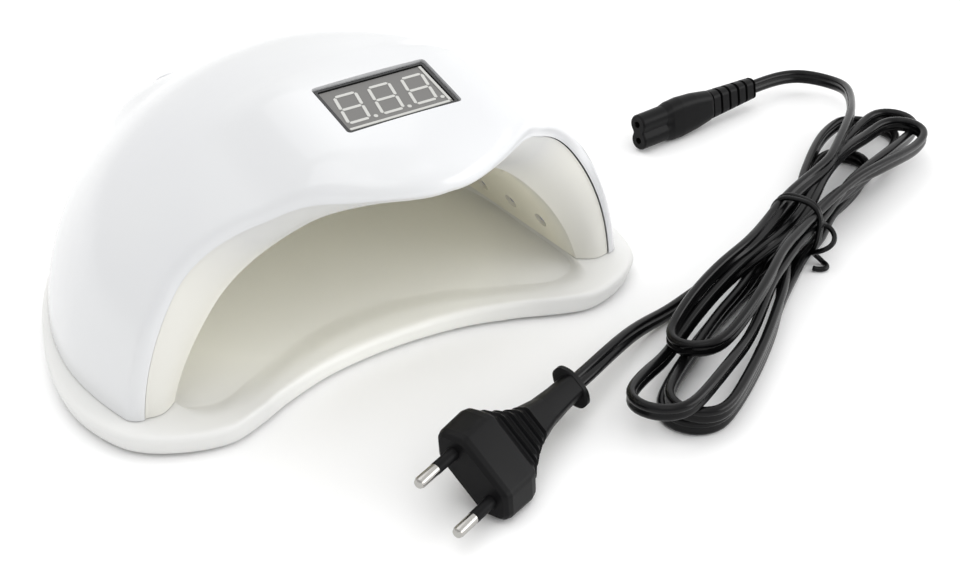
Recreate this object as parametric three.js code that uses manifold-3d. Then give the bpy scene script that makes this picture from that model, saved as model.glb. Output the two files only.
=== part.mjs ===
// A desk-top UV curing lamp: a dome with a hand opening, on a removable tray, with its mains lead.
// Millimetres, +Z up. The hand goes in from -Y. The origin is under the middle of the lamp, on the table.
import * as THREE from "three";
import { RoundedBoxGeometry } from "three/addons/geometries/RoundedBoxGeometry.js";
import { mergeVertices } from "three/addons/utils/BufferGeometryUtils.js";
import Module from "manifold-3d";

const wasm = await Module();
wasm.setup();

// ---- Driving dimensions ----
const GAP = 0.35; // between pieces that touch
const WALL = 2.4; // the outer shell's wall
const LINER_WALL = 2.0;

// The dome: arched sections across X, which grow and shrink along Y.
const DOME = {
  height: 104.6, // the top of the crown, which is also the lamp's height
  crownY: -34,
  halfWidth: 104.4,
  widestY: -32.5,
  rearY: 99, // where the dome runs down to the table
  sidePower: 1.58, // how full the side view is, behind the crown
  planPower: 1.76, // how full the plan is, behind the widest place
  forwardFall: 0.0037, // the crown's fall ahead of crownY, per square millimetre
  forwardNarrowing: 0.0038,
  archX: 1.06, // powers of cosine and sine that draw the arch
  archZ: 0.97,
};
// The front edge of the shell.
const EDGE = { footY: -68.5, visorReach: 37, reachFrom: 32, reachTo: 88, roll: 4 };
const TUNNEL = {
  halfWidth: 84,
  height: 78.5,
  frontY: -87.5,
  straightToY: 2.5,
  rearY: 67.5,
  heightPower: 2.2,
  archPower: 1.21,
  creaseFootY: -64.5,
  creaseReach: 25,
};
const TRAY = { bottom: 1.5, top: 9, bevel: 1.3, floorDepth: 2.6 };
const BODY_BOTTOM = TRAY.top + GAP; // the lowest face of the dome and the liner
const FLANGE = 3; // thickness of the liner's bottom flange

const DISPLAY = {
  y: -68.5,
  width: 42.4,
  length: 23.8,
  sink: 1.2,
  bezel: 2,
  moduleWidth: 37.6,
  moduleLength: 19,
};
const BUTTONS = { y: 57, spacing: 14, count: 4, radius: 4.8, proud: 1.3, plateBottom: -3.4 };
// How much the crown is flattened there, as a share of its fall: in full out to one half width and half
// length, and fading out by another.
const DISPLAY_FLAT = { amount: 0.85, full: [24, 14], fade: [54, 32] };
const BUTTON_FLAT = { amount: 0.6, full: [30, 8], fade: [62, 36] };
const LED_ROWS = { front: -46.5, middle: -27, rear: -7.5 };
const LED_ANGLES = [18, 42, 66, 90, 114, 138, 162];
const LED_RADIUS = 2.6;
const MAGNET = { x: 94, y: -32, radius: 5, height: 3 };
const SCREW_PLACES = [
  [92.2, -7.5],
  [-92.2, -7.5],
  [57, 57.5],
  [-57, 57.5],
];
const FOOT_PLACES = {
  front_right: [80, -66],
  front_left: [-80, -66],
  rear_right: [50, 60],
  rear_left: [-50, 60],
};
const INLET = { z: 22.5, width: 24.4, height: 16.4, faceY: 99.8, depth: 23, pinGap: 7.2 };

// The lead. It lies on the table beside and in front of the lamp, unplugged.
const CORD = { halfWidth: 3.1, halfHeight: 1.9 };
const CONNECTOR = { tip: [168.3, 5.5, 9], heading: 5.6, pitch: 0, roll: 80, body: 43, relief: 27, nose: 15 };
const PLUG = { face: [-28, -158, 13.6], heading: 23.5, pitch: 2.2, roll: 42, body: 60.4, collar: 2.6 };
const PLUG_RIBS = { first: 20, pitch: 4, count: 4, depth: 1.2 };
const PLUG_PIN = { side: 9.3, sleeve: 10, tip: 9, radius: 2 };
const HANK = { tie: [166, -94], heading: 24, bottom: 1.4, height: 12, halfWaist: 8.5 };

// ---- Geometry helpers ----
const UP = new THREE.Vector3(0, 0, 1);
const rad = THREE.MathUtils.degToRad;
const { lerp, clamp, smoothstep } = THREE.MathUtils;

// A closed three.js geometry as a manifold-3d solid, for cutting and joining.
function solid(geometry, matrix = new THREE.Matrix4()) {
  const plain = geometry.index ? geometry.toNonIndexed() : geometry.clone();
  for (const name of Object.keys(plain.attributes)) if (name !== "position") plain.deleteAttribute(name);
  const merged = mergeVertices(plain.applyMatrix4(matrix), 1e-4);
  const corners = merged.index.array;
  const kept = [];
  for (let i = 0; i < corners.length; i += 3) {
    const [a, b, c] = corners.slice(i, i + 3);
    if (a !== b && b !== c && c !== a) kept.push(a, b, c);
  }
  return new wasm.Manifold(
    new wasm.Mesh({
      numProp: 3,
      vertProperties: merged.attributes.position.array,
      triVerts: new Uint32Array(kept),
    }),
  );
}

function geometryOf(manifold) {
  const mesh = manifold.getMesh();
  const geometry = new THREE.BufferGeometry();
  geometry.setAttribute("position", new THREE.BufferAttribute(mesh.vertProperties, 3));
  geometry.setIndex(new THREE.BufferAttribute(mesh.triVerts, 1));
  return geometry;
}

const cut = (body, ...tools) => tools.reduce((left, tool) => left.subtract(tool), body);
const join = (body, ...others) => others.reduce((sum, other) => sum.add(other), body);

// A closed skin over rings of equal point count. Each end is closed to its ring's middle, or to a
// given point.
function skin(rings, startPoint, endPoint) {
  const count = rings[0].length;
  const middle = (ring) => ring.reduce((sum, p) => sum.add(p), new THREE.Vector3()).divideScalar(ring.length);
  const points = [...rings.flat(), startPoint ?? middle(rings[0]), endPoint ?? middle(rings.at(-1))];
  const start = points.length - 2;
  const index = [];
  for (let r = 0; r < rings.length - 1; r++) {
    for (let i = 0; i < count; i++) {
      const a = r * count + i;
      const b = r * count + ((i + 1) % count);
      index.push(a, b, b + count, a, b + count, a + count);
    }
  }
  const last = (rings.length - 1) * count;
  for (let i = 0; i < count; i++) {
    const next = (i + 1) % count;
    index.push(start, next, i, start + 1, last + i, last + next);
  }
  return new THREE.BufferGeometry().setFromPoints(points).setIndex(index);
}

const box = (w, d, h) => new THREE.BoxGeometry(w, d, h);
const rounded = (w, d, h, r) => new RoundedBoxGeometry(w, d, h, 1, r);
const moveTo = (x, y, z) => new THREE.Matrix4().makeTranslation(x, y, z);

// A cylinder along Z, standing on z = 0.
function peg(radius, height, sides = 20) {
  const cylinder = new THREE.CylinderGeometry(radius, radius, height, sides);
  return cylinder.rotateX(Math.PI / 2).translate(0, 0, height / 2);
}

// A solid of revolution about Z from [radius, height] pairs that start and end on the axis.
function turned(profile, sides = 24) {
  const outline = profile.map(([r, z]) => new THREE.Vector2(r, z));
  return new THREE.LatheGeometry(outline, sides).rotateX(Math.PI / 2);
}

// ---- The dome and the tunnel as sections ----
const falloff = (t, power) => Math.max(0, 1 - clamp(t, 0, 1) ** power) ** (1 / power);

// Half width and height of the dome's arch at a distance y, inset by a wall.
function domeArch(y, inset = 0) {
  const rear = DOME.rearY - inset;
  const aheadOfCrown = Math.max(0, DOME.crownY - y);
  const aheadOfWidest = Math.max(0, DOME.widestY - y);
  const height = DOME.height * falloff((y - DOME.crownY) / (rear - DOME.crownY), DOME.sidePower);
  const width = DOME.halfWidth * falloff((y - DOME.widestY) / (rear - DOME.widestY), DOME.planPower);
  return {
    width: Math.max(0, width - DOME.forwardNarrowing * aheadOfWidest ** 2 - inset),
    height: Math.max(0, height - DOME.forwardFall * aheadOfCrown ** 2 - inset),
  };
}

// A point on an arch: angle 0 is the right foot, a quarter turn the top, a half turn the left foot.
function archPoint({ width, height }, y, angle, powerX, powerZ) {
  const c = Math.cos(angle);
  const s = Math.max(0, Math.sin(angle));
  return new THREE.Vector3(width * Math.sign(c) * Math.abs(c) ** powerX, y, height * s ** powerZ);
}

// A point on the dome, with the crown flattened round the display and the buttons.
function domePoint(y, angle, inset = 0) {
  const p = archPoint(domeArch(y, inset), y, angle, DOME.archX, DOME.archZ);
  for (const { frame, amount, full, fade } of FLATS) {
    const local = p.clone().applyMatrix4(frame.clone().invert());
    const across = 1 - smoothstep(Math.abs(local.x), full[0], fade[0]);
    const along = 1 - smoothstep(Math.abs(local.y), full[1], fade[1]);
    local.z = -inset + (local.z + inset) * (1 - amount * across * along);
    p.copy(local.applyMatrix4(frame));
  }
  return p;
}

// How far round from a foot an arch angle is, in degrees: 0 at either foot, 90 at the top.
const fromFoot = (angle) => THREE.MathUtils.radToDeg(Math.min(angle, Math.PI - angle));
const edgeY = (angle) =>
  EDGE.footY - EDGE.visorReach * smoothstep(fromFoot(angle), EDGE.reachFrom, EDGE.reachTo);
const creaseY = (angle) => TUNNEL.creaseFootY - TUNNEL.creaseReach * smoothstep(fromFoot(angle), 36, 90);

function tunnelArch(y, outward = 0) {
  const rear = TUNNEL.rearY + outward;
  const height = TUNNEL.height * falloff((y - TUNNEL.frontY) / (rear - TUNNEL.frontY), TUNNEL.heightPower);
  const width = TUNNEL.halfWidth * falloff((y - TUNNEL.straightToY) / (rear - TUNNEL.straightToY), 2);
  return { width: width + outward, height: height + outward };
}
const tunnelPoint = (y, angle, outward) =>
  archPoint(tunnelArch(y, outward), y, angle, TUNNEL.archPower, TUNNEL.archPower);

const ARCH_STEPS = 34;
const FLOOR_STEPS = 3;

// One closed ring: an arch from the right foot to the left, and back along z = 0.
function ring(pointAt) {
  const points = [];
  for (let i = 0; i <= ARCH_STEPS; i++) points.push(pointAt((Math.PI * i) / ARCH_STEPS));
  const [right, left] = [points[0], points.at(-1)];
  for (let i = 1; i < FLOOR_STEPS; i++) points.push(left.clone().lerp(right, i / FLOOR_STEPS));
  return points;
}

// Shares of the way from the rear to the front, closer together at the rear, where the skin curves most.
const stations = (count) =>
  Array.from({ length: count }, (_, i) => 1 - Math.sin((Math.PI / 2) * (1 - i / count)) ** 1.25);

// The dome inset by a wall, with its rolled front edge; run > 0 carries the mouth forward, to cut with.
function domeSolid(inset, run = 0) {
  const rear = DOME.rearY - inset;
  const inner = EDGE.roll - inset;
  const rings = stations(13).map((s) =>
    ring((angle) => {
      const y = lerp(rear, edgeY(angle) + EDGE.roll, s);
      return domePoint(y, angle, inset);
    }),
  );
  for (const turn of [0, 35, 70, 88]) {
    const [forward, inward] = [inner * Math.sin(rad(turn)), inner * (1 - Math.cos(rad(turn)))];
    rings.push(ring((angle) => domePoint(edgeY(angle) + EDGE.roll - forward, angle, inset + inward)));
  }
  if (run > 0) rings.push(ring((angle) => domePoint(edgeY(angle) - run, angle, EDGE.roll + 0.2)));
  const mouth = new THREE.Vector3(0, EDGE.footY - 14 - run, 30);
  return solid(skin(rings, new THREE.Vector3(0, rear, 0), mouth));
}

// The band round the opening, from the shell's edge (t = 0) to the crease where the tunnel starts (t = 1).
function bandPoint(angle, t, inset, outward) {
  const outer = domePoint(edgeY(angle) + 0.5, angle, inset);
  const inner = tunnelPoint(creaseY(angle), angle, outward);
  const bulge = 2.2 * Math.sin(Math.PI * t);
  return outer.lerp(inner, t).add(new THREE.Vector3(0, -bulge, 0));
}

function tunnelRings(outward) {
  const rear = TUNNEL.rearY + outward;
  return stations(9)
    .map((s) => ring((angle) => tunnelPoint(lerp(rear, creaseY(angle), s), angle, outward)))
    .concat([ring((angle) => tunnelPoint(creaseY(angle), angle, outward))]);
}

const LINER_EDGE = EDGE.roll + 0.2 + GAP;
const LINER_LAND = 0.8;

// The space the hand uses: the tunnel, the flared band and the air in front of it.
function cavitySolid() {
  const rings = tunnelRings(0);
  for (const t of [0.66, 0.33, 0]) {
    rings.push(ring((angle) => bandPoint(angle, t, LINER_EDGE + LINER_LAND, 0)));
  }
  rings.push(ring((angle) => domePoint(edgeY(angle) - 12, angle, LINER_EDGE + LINER_LAND)));
  return solid(skin(rings, new THREE.Vector3(0, TUNNEL.rearY, 0), new THREE.Vector3(0, EDGE.footY - 40, 30)));
}

function linerOutside() {
  const rings = tunnelRings(LINER_WALL);
  const back = new THREE.Vector3(0, LINER_WALL, 0);
  for (const t of [0.66, 0.33, 0]) {
    rings.push(ring((angle) => bandPoint(angle, t, LINER_EDGE, LINER_WALL).add(back)));
  }
  rings.push(ring((angle) => domePoint(edgeY(angle) + 0.5, angle, LINER_EDGE)));
  const mouth = new THREE.Vector3(0, EDGE.footY - 14, 30);
  return solid(skin(rings, new THREE.Vector3(0, TUNNEL.rearY + LINER_WALL, 0), mouth));
}

// A slab across the whole lamp between two heights.
const slab = (low, high) => solid(box(400, 400, high - low), moveTo(0, 0, (low + high) / 2));

// A frame that sits on the crown line at y: origin on the surface, Z outwards, Y up the slope.
function crownFrame(y) {
  const step = 1;
  const [rise, z] = [domeArch(y + step).height - domeArch(y - step).height, domeArch(y).height];
  return moveTo(0, y, z).multiply(new THREE.Matrix4().makeRotationX(Math.atan2(rise, 2 * step)));
}
const inFrame = (frame, x, y, z) => frame.clone().multiply(moveTo(x, y, z));

// A frame on the tunnel's wall: origin on the inner face, Z away from the hand.
function tunnelFrame(y, angle) {
  const [a, b] = [-0.02, 0.02].map((step) => tunnelPoint(y, angle + step, 0));
  const out = new THREE.Vector3(b.z - a.z, 0, a.x - b.x).normalize();
  const turn = new THREE.Quaternion().setFromUnitVectors(UP, out);
  return new THREE.Matrix4().compose(tunnelPoint(y, angle, 0), turn, new THREE.Vector3(1, 1, 1));
}

const displayFrame = crownFrame(DISPLAY.y);
const buttonFrame = crownFrame(BUTTONS.y);
const FLATS = [
  { frame: displayFrame, ...DISPLAY_FLAT },
  { frame: buttonFrame, ...BUTTON_FLAT },
];
const buttonX = (i) => (i - (BUTTONS.count - 1) / 2) * BUTTONS.spacing;
const flangeTop = BODY_BOTTOM + FLANGE;

// ---- Housing ----
function outerShell() {
  const outside = domeSolid(0);
  const inside = domeSolid(WALL, 10);
  const displayPad = solid(box(DISPLAY.width + 7, DISPLAY.length + 7, 8), inFrame(displayFrame, 0, 0, -3));
  const padPlace = inFrame(buttonFrame, 0, 0, BUTTONS.plateBottom + 4);
  const buttonPad = solid(box(4 * BUTTONS.spacing + 6, 24, 8), padPlace);
  const bosses = SCREW_PLACES.map(([x, y]) => solid(peg(3.6, 60, 16), moveTo(x, y, flangeTop + GAP)));
  const thick = join(displayPad, buttonPad, ...bosses).intersect(outside);
  const inletHood = solid(rounded(33, 45, 42, 2.5), moveTo(0, INLET.faceY - 0.4 - 22.5, 14.6));
  const hoodHollow = solid(box(28.4, 46, 38), moveTo(0, INLET.faceY - 3 - 23, 14));
  const hollow = join(cut(outside, inside), inletHood);
  const walls = join(cut(hollow, hoodHollow, inside), thick);
  const holes = [
    solid(box(DISPLAY.width + 0.7, DISPLAY.length + 0.7, 8), inFrame(displayFrame, 0, 0, -0.5)),
    solid(box(DISPLAY.moduleWidth + 1, DISPLAY.moduleLength + 1, 30), inFrame(displayFrame, 0, 0, -5)),
    solid(box(4 * BUTTONS.spacing + 4, 17, 10), inFrame(buttonFrame, 0, 0, BUTTONS.plateBottom - 5)),
    solid(box(INLET.width + 0.7, 12, INLET.height + 0.7), moveTo(0, INLET.faceY - 3, INLET.z)),
    ...SCREW_PLACES.map(([x, y]) => solid(peg(1.5 + GAP, 11, 12), moveTo(x, y, flangeTop - 1))),
  ];
  for (let i = 0; i < BUTTONS.count; i++) {
    holes.push(solid(peg(BUTTONS.radius + GAP, 30), inFrame(buttonFrame, buttonX(i), 0, -20)));
  }
  return cut(walls, ...holes, slab(-60, BODY_BOTTOM));
}

function innerLiner() {
  const cavity = cavitySolid();
  const flange = domeSolid(WALL + GAP).intersect(slab(BODY_BOTTOM, flangeTop));
  const holes = SCREW_PLACES.flatMap(([x, y]) => [
    solid(peg(1.5 + GAP, 20, 12), moveTo(x, y, 0)),
    solid(peg(3.3, 10, 16), moveTo(x, y, BODY_BOTTOM + 2 - 10)),
  ]);
  for (const y of Object.values(LED_ROWS)) {
    for (const angle of LED_ANGLES) {
      const place = tunnelFrame(y, rad(angle)).multiply(moveTo(0, 0, -6));
      holes.push(solid(peg(LED_RADIUS + GAP + 0.2, 12, 8), place));
    }
  }
  holes.push(solid(peg(4.2, 20, 16), moveTo(0, SENSOR_Y, 70)));
  const hood = solid(box(29, 60, 40), moveTo(0, INLET.faceY - INLET.depth + 28, 25));
  return cut(join(linerOutside(), cut(flange, hood)), cavity, ...holes, slab(-60, BODY_BOTTOM));
}
const SENSOR_Y = -70;

// ---- Display ----
function displayBezel() {
  const frame = solid(box(DISPLAY.width, DISPLAY.length, DISPLAY.bezel));
  return cut(frame, solid(box(DISPLAY.moduleWidth + 0.8, DISPLAY.moduleLength + 0.8, 9)));
}
const bezelZ = -DISPLAY.sink - DISPLAY.bezel / 2;
const moduleTop = -DISPLAY.sink - 0.9;
const MODULE_HEIGHT = 8;
const boardZ = moduleTop - MODULE_HEIGHT - GAP - 0.8;

// ---- Light boards ----
// A flex board bent over the tunnel, with a domed emitter that looks through each hole of the liner.
function lightBoard(y) {
  const [inner, outer] = [LINER_WALL + 0.6, LINER_WALL + 1.8];
  const rings = [];
  for (let degrees = 15; degrees <= 165; degrees += 6) {
    const corner = (dy, outward) => tunnelPoint(y + dy, rad(degrees), outward);
    rings.push([corner(-6, inner), corner(-6, outer), corner(6, outer), corner(6, inner)]);
  }
  const back = outer - 0.4;
  const emitter = turned([[0, 0.5], [1.8, 0.9], [LED_RADIUS, 1.9], [LED_RADIUS, back], [0, back]], 8);
  const emitters = LED_ANGLES.map((degrees) => solid(emitter, tunnelFrame(y, rad(degrees))));
  return join(solid(skin(rings)), ...emitters);
}

// ---- Mains inlet: a figure-8 pin socket ----
function figureEight(width, height, depth) {
  const r = height / 2;
  const shape = new THREE.Shape();
  shape.absarc(width / 2 - r, 0, r, -Math.PI / 2, Math.PI / 2);
  shape.absarc(r - width / 2, 0, r, Math.PI / 2, (3 * Math.PI) / 2);
  return new THREE.ExtrudeGeometry(shape, { depth, bevelEnabled: false, curveSegments: 8 });
}
const faceRear = new THREE.Matrix4().makeRotationX(-Math.PI / 2); // turns +Z to +Y

function mainsInlet() {
  const { width, height, depth, faceY, z } = INLET;
  const body = solid(box(width, depth, height), moveTo(0, faceY - depth / 2, z));
  const flange = solid(box(width + 4, 1.8, height + 4), moveTo(0, faceY + GAP + 0.9, z));
  const throat = solid(box(width - 1, 2, height - 1), moveTo(0, faceY, z));
  const socket = solid(figureEight(16.4, 9, 20), moveTo(0, faceY - 12, z).multiply(faceRear));
  const pinHoles = [-1, 1].map((side) =>
    solid(peg(1.2 + GAP, 30, 12), moveTo((side * INLET.pinGap) / 2, faceY - 32, z).multiply(faceRear)),
  );
  return cut(join(body, flange, throat), socket, ...pinHoles);
}

// ---- Tray ----
const trayHalfOutline = [
  [0, -69.6], [26, -71.6], [47, -77.6], [62, -84], [75, -87.4], [91, -82.6], [104, -72], [110.3, -54],
  [111, -36], [107.4, -17], [101.6, 1], [93.6, 21], [81, 43.5], [64.5, 66], [46, 84.5], [23, 100.5],
  [0, 105.9],
]; // prettier-ignore

// The dished floor that the hand rests on.
const floorHalfOutline = [
  [0, -44], [26, -49], [50, -60], [66, -68], [78, -66], [83, -56], [83.6, -32], [83.2, 2], [73.8, 34],
  [47, 57.5], [21, 67], [0, 69],
]; // prettier-ignore

// A smooth closed outline through points.
function smoothOutline(points, perPoint) {
  const curve = new THREE.CatmullRomCurve3(points.map(([x, y]) => new THREE.Vector3(x, y, 0)), true);
  const along = curve.getPoints(points.length * perPoint).slice(0, -1);
  return new THREE.Shape(along.map((p) => new THREE.Vector2(p.x, p.y)));
}

const mirrored = (half) => [...half, ...half.slice(1, -1).reverse().map(([x, y]) => [-x, y])];

function trayPlate(half, low, high, bevel) {
  const options = { depth: high - low - 2 * bevel, bevelEnabled: bevel > 0, bevelThickness: bevel };
  Object.assign(options, { bevelSize: bevel, bevelOffset: -bevel, bevelSegments: 2, curveSegments: 1 });
  return new THREE.ExtrudeGeometry(smoothOutline(mirrored(half), 2), options).translate(0, 0, low + bevel);
}

function baseTray() {
  const plate = solid(trayPlate(trayHalfOutline, TRAY.bottom, TRAY.top, TRAY.bevel));
  const dish = solid(trayPlate(floorHalfOutline, TRAY.top - TRAY.floorDepth, TRAY.top + 3, 0));
  const pockets = [1, -1].map((side) =>
    solid(peg(MAGNET.radius + GAP, 4), moveTo(side * MAGNET.x, MAGNET.y, 0)),
  );
  const footPockets = Object.values(FOOT_PLACES).map(([x, y]) => solid(peg(6 + GAP, 2.2), moveTo(x, y, 0)));
  return cut(plate, dish, ...pockets, ...footPockets);
}

// ---- Lead ----
const v3 = (x, y, z) => new THREE.Vector3(x, y, z);

// The route of the cord, in the order connector, tie, plug. The hank lies between the two lists.
const connectorRoute = [
  [238.2, 12.4, 8.9], [246, 13.2, 8.7], [254.5, 13.7, 7.9], [262.5, 13, 6.8], [269.3, 10, 5.6],
  [273.4, 4.2, 4.7], [274.4, -4, 4], [271.5, -12.8, 3.4], [264.5, -22.8, 3.3],
]; // prettier-ignore
const plugRoute = [
  [131, -96.2, 2.5], [118, -99.4, 2.5], [105, -102.8, 2.6], [93, -106.3, 2.6], [81, -110.2, 2.8],
  [69.5, -114.7, 3.6], [58.5, -119.9, 5], [48, -125, 7.6], [38.5, -129.4, 9.8], [30.2, -132.7, 11.1],
]; // prettier-ignore

// A run of flat two-core flex along a list of points, turned about its length from one roll to another.
function cordTube(points, startRoll, endRoll) {
  const path = new THREE.CatmullRomCurve3(points.map((p) => v3(...p)));
  const [steps, sides] = [16, 10];
  const rings = [];
  for (let i = 0; i <= steps; i++) {
    const [centre, along] = [path.getPoint(i / steps), path.getTangent(i / steps)];
    const side = UP.clone().cross(along).normalize();
    side.applyAxisAngle(along, rad(lerp(startRoll, endRoll, i / steps)));
    const up = along.clone().cross(side);
    rings.push(Array.from({ length: sides }, (_, k) => {
      const turn = (2 * Math.PI * k) / sides;
      const [across, rise] = [CORD.halfWidth * Math.cos(turn), CORD.halfHeight * Math.sin(turn)];
      return centre.clone().addScaledVector(side, across).addScaledVector(up, rise);
    }));
  }
  return solid(skin(rings));
}

// The looped stretch as one block, along +X: two lobes of loops, narrow where the tie holds them.
const hankOutline = [
  [8, 8.5], [34, 15], [56, 21], [80, 25], [105, 25], [122, 20], [131, 8], [124, -6], [104, -14.5],
  [80, -18.5],
  [52, -16.5], [8, -8.5], [-8, -8.5], [-45, -13], [-95, -24], [-128, -28], [-142, -20], [-137, -6], [-112, 7],
  [-78, 10.5], [-40, 9.2], [-8, 8.5],
]; // prettier-ignore
const hankBlock = () =>
  new THREE.ExtrudeGeometry(smoothOutline(hankOutline, 2), { depth: HANK.height, bevelEnabled: false });

// The wire tie: a flat strip once round the hank's waist, with its twisted ends on top.
function leadTie() {
  const [halfWidth, height, thick] = [HANK.halfWaist + 2 * GAP, HANK.height + 2 * GAP, 1];
  const outer = solid(box(4, 2 * (halfWidth + thick), height + 2 * thick));
  const twist = solid(peg(1.4, 7, 8), moveTo(0, 3, height / 2 + 0.4));
  return join(cut(outer, solid(box(9, 2 * halfWidth, height))), twist);
}

// A closed skin along +X over sections [x, half width, half height, ...], each drawn by an outline.
const loftX = (sections, outline) =>
  solid(skin(sections.map(([x, ...sizes]) => outline(...sizes).map(([y, z]) => v3(x, y, z)))));

// A section with round ends.
function roundEnded(halfY, halfZ) {
  const points = [];
  for (const [side, start] of [[1, -90], [-1, 90]]) {
    for (let degrees = start; degrees <= start + 180; degrees += 30) {
      const [c, s] = [Math.cos(rad(degrees)), Math.sin(rad(degrees))];
      points.push([side * (halfY - halfZ) + halfZ * c, halfZ * s]);
    }
  }
  return points;
}

// A section with chamfered sides: flat is the share of its width that is level on top.
function chamfered(halfY, halfZ, flat = 0.66, side = 0.2) {
  const quarter = [[halfY, halfZ * side], [halfY * flat, halfZ]];
  const rest = [[-1, 1], [-1, -1], [1, -1]].flatMap(([sy, sz]) =>
    (sy * sz < 0 ? [...quarter].reverse() : quarter).map(([y, z]) => [sy * y, sz * z]),
  );
  return [...quarter, ...rest];
}

// The figure-8 connector, along +X from its face at x = 0.
const alongX = new THREE.Matrix4().makeBasis(v3(0, 1, 0), v3(0, 0, 1), v3(1, 0, 0)); // Z to X, X to Y
const gripSections = [
  [14, 7.2, 3.8], [15.5, 8, 4.2], [18, 8.7, 4.4], [24, 9, 4.5], [33, 8.3, 4.4], [41.5, 6.9, 4.2],
  [43, 6.2, 3.7],
]; // prettier-ignore
function leadConnector() {
  const nose = solid(figureEight(15.6, 8.2, CONNECTOR.nose), alongX);
  const sockets = [-1, 1].map((side) =>
    solid(peg(1.5, 11, 10), moveTo(-1, (side * INLET.pinGap) / 2, 0).multiply(alongX)),
  );
  return cut(join(nose, loftX(gripSections, roundEnded)), ...sockets);
}

// The connector's strain relief along +X: five blocks on a tapering core.
function strainRelief(blocks = 5) {
  const pitch = CONNECTOR.relief / blocks;
  const sections = [];
  for (let i = 0; i < blocks; i++) {
    const taper = i / blocks;
    const [halfY, halfZ] = [6.3 - 1.5 * taper, 4.1 - 0.7 * taper];
    sections.push([i * pitch, halfY, halfZ], [(i + 0.74) * pitch, halfY, halfZ]);
    if (i < blocks - 1) {
      sections.push([(i + 0.78) * pitch, halfY - 1.3, halfZ - 1]);
      sections.push([(i + 0.97) * pitch, halfY - 1.3, halfZ - 1]);
    }
  }
  return loftX(sections, (halfY, halfZ) => chamfered(halfY, halfZ, 0.7, 0.45));
}

// The flat two-pin plug's moulding, along +X from its face at x = 0, down to its neck.
const plugSections = [
  [0, 15.4, 5.25], [1.2, 16.6, 6.35], [3, 17.2, 6.85], [14, 17.6, 6.85], [16.5, 17, 6.85], [22, 13, 6.65],
  [28, 9.4, 6.15], [34, 7.2, 5.55], [42, 5.7, 4.85], [52, 5, 4.35], [PLUG.body - GAP, 4.7, 4.15],
]; // prettier-ignore
function plugBody() {
  const ribs = [];
  for (let i = 0; i < PLUG_RIBS.count; i++) {
    const x = PLUG_RIBS.first + i * PLUG_RIBS.pitch;
    for (const side of [-1, 1]) {
      const surface = 6.8 - 0.09 * (x - PLUG_RIBS.first);
      ribs.push(solid(box(1, 40, 2 * PLUG_RIBS.depth), moveTo(x, 0, side * surface)));
    }
  }
  const seats = [-1, 1].map((side) =>
    solid(peg(PLUG_PIN.radius + 0.1 + GAP, 6, 14), moveTo(-1, side * PLUG_PIN.side, 0).multiply(alongX)),
  );
  return cut(loftX(plugSections, chamfered), ...ribs, ...seats);
}

// The thin stop at the end of the plug's neck, wider than it is high.
function plugCollar() {
  const outline = () => [
    [8, -1.8], [8, 1.8], [4.2, 4.4], [-4.2, 4.4], [-8, 1.8], [-8, -1.8], [-4.2, -4.4], [4.2, -4.4],
  ]; // prettier-ignore
  return loftX([[PLUG.body], [PLUG.body + PLUG.collar - GAP]], outline);
}

// ---- Assembly ----
const MATERIALS = {
  shell: { color: 0xf4f5f5, roughness: 0.18 },
  liner: { color: 0xdcd9cc, roughness: 0.45 },
  tray: { color: 0xf2f2f0, roughness: 0.3 },
  black: { color: 0x17181a, roughness: 0.45 },
  flex: { color: 0x1a1b1d, roughness: 0.35 },
  rubber: { color: 0x2a2a2a, roughness: 0.9 },
  face: { color: 0x82817f, roughness: 0.4 },
  board: { color: 0x1c5a33, roughness: 0.6 },
  steel: { color: 0xb9babd, roughness: 0.3, metalness: 1 },
  brass: { color: 0xc9a24a, roughness: 0.35, metalness: 1 },
  lens: { color: 0xd9d6ee, roughness: 0.15 },
  aluminium: { color: 0xc4c6c8, roughness: 0.4, metalness: 1 },
  ferrite: { color: 0xd8c14a, roughness: 0.6 },
};

const group = new THREE.Group();

// Adds a named mesh to a parent, at a matrix.
function add(name, shape, look, matrix = new THREE.Matrix4(), parent = group) {
  const geometry = shape.isBufferGeometry ? shape : geometryOf(shape);
  const mesh = new THREE.Mesh(geometry, new THREE.MeshStandardMaterial(MATERIALS[look]));
  mesh.name = name;
  mesh.applyMatrix4(matrix);
  parent.add(mesh);
}

function subGroup(matrix) {
  const sub = new THREE.Group();
  sub.applyMatrix4(matrix);
  group.add(sub);
  return sub;
}

function addHousing() {
  add("outer_shell", outerShell(), "shell");
  add("inner_liner", innerLiner(), "liner");
  const head = turned([[0, 0], [2.7, 0], [3, 0.5], [3, 1.5], [1.5, 1.5], [1.5, 11], [0, 11.6]], 16);
  SCREW_PLACES.forEach(([x, y], i) => {
    add(`housing_screw_${i + 1}`, head, "steel", moveTo(x, y, BODY_BOTTOM + 0.2));
  });
  for (const [name, side] of [["right", 1], ["left", -1]]) {
    const place = moveTo(side * MAGNET.x, MAGNET.y, flangeTop + GAP);
    add(`housing_magnet_${name}`, peg(MAGNET.radius, MAGNET.height), "steel", place);
  }
}

function addDisplay() {
  const display = subGroup(displayFrame);
  const moduleBox = box(DISPLAY.moduleWidth, DISPLAY.moduleLength, MODULE_HEIGHT);
  add("display_bezel", displayBezel(), "black", moveTo(0, 0, bezelZ), display);
  add("display_module", moduleBox, "face", moveTo(0, 0, moduleTop - MODULE_HEIGHT / 2), display);
  add("control_board", box(60, 40, 1.6), "board", moveTo(0, 5, boardZ), display);
  const chipPlace = moveTo(18, 18.5, boardZ + 0.8 + GAP + 0.9);
  add("microcontroller", rounded(10, 10, 1.8, 0.2), "black", chipPlace, display);
  const sensor = turned([[0, 0], [2.6, 0.4], [3.8, 1.6], [3.8, 6.5], [0, 6.5]], 16);
  add("hand_sensor", sensor, "black", moveTo(0, SENSOR_Y, 77.2));
}

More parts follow.
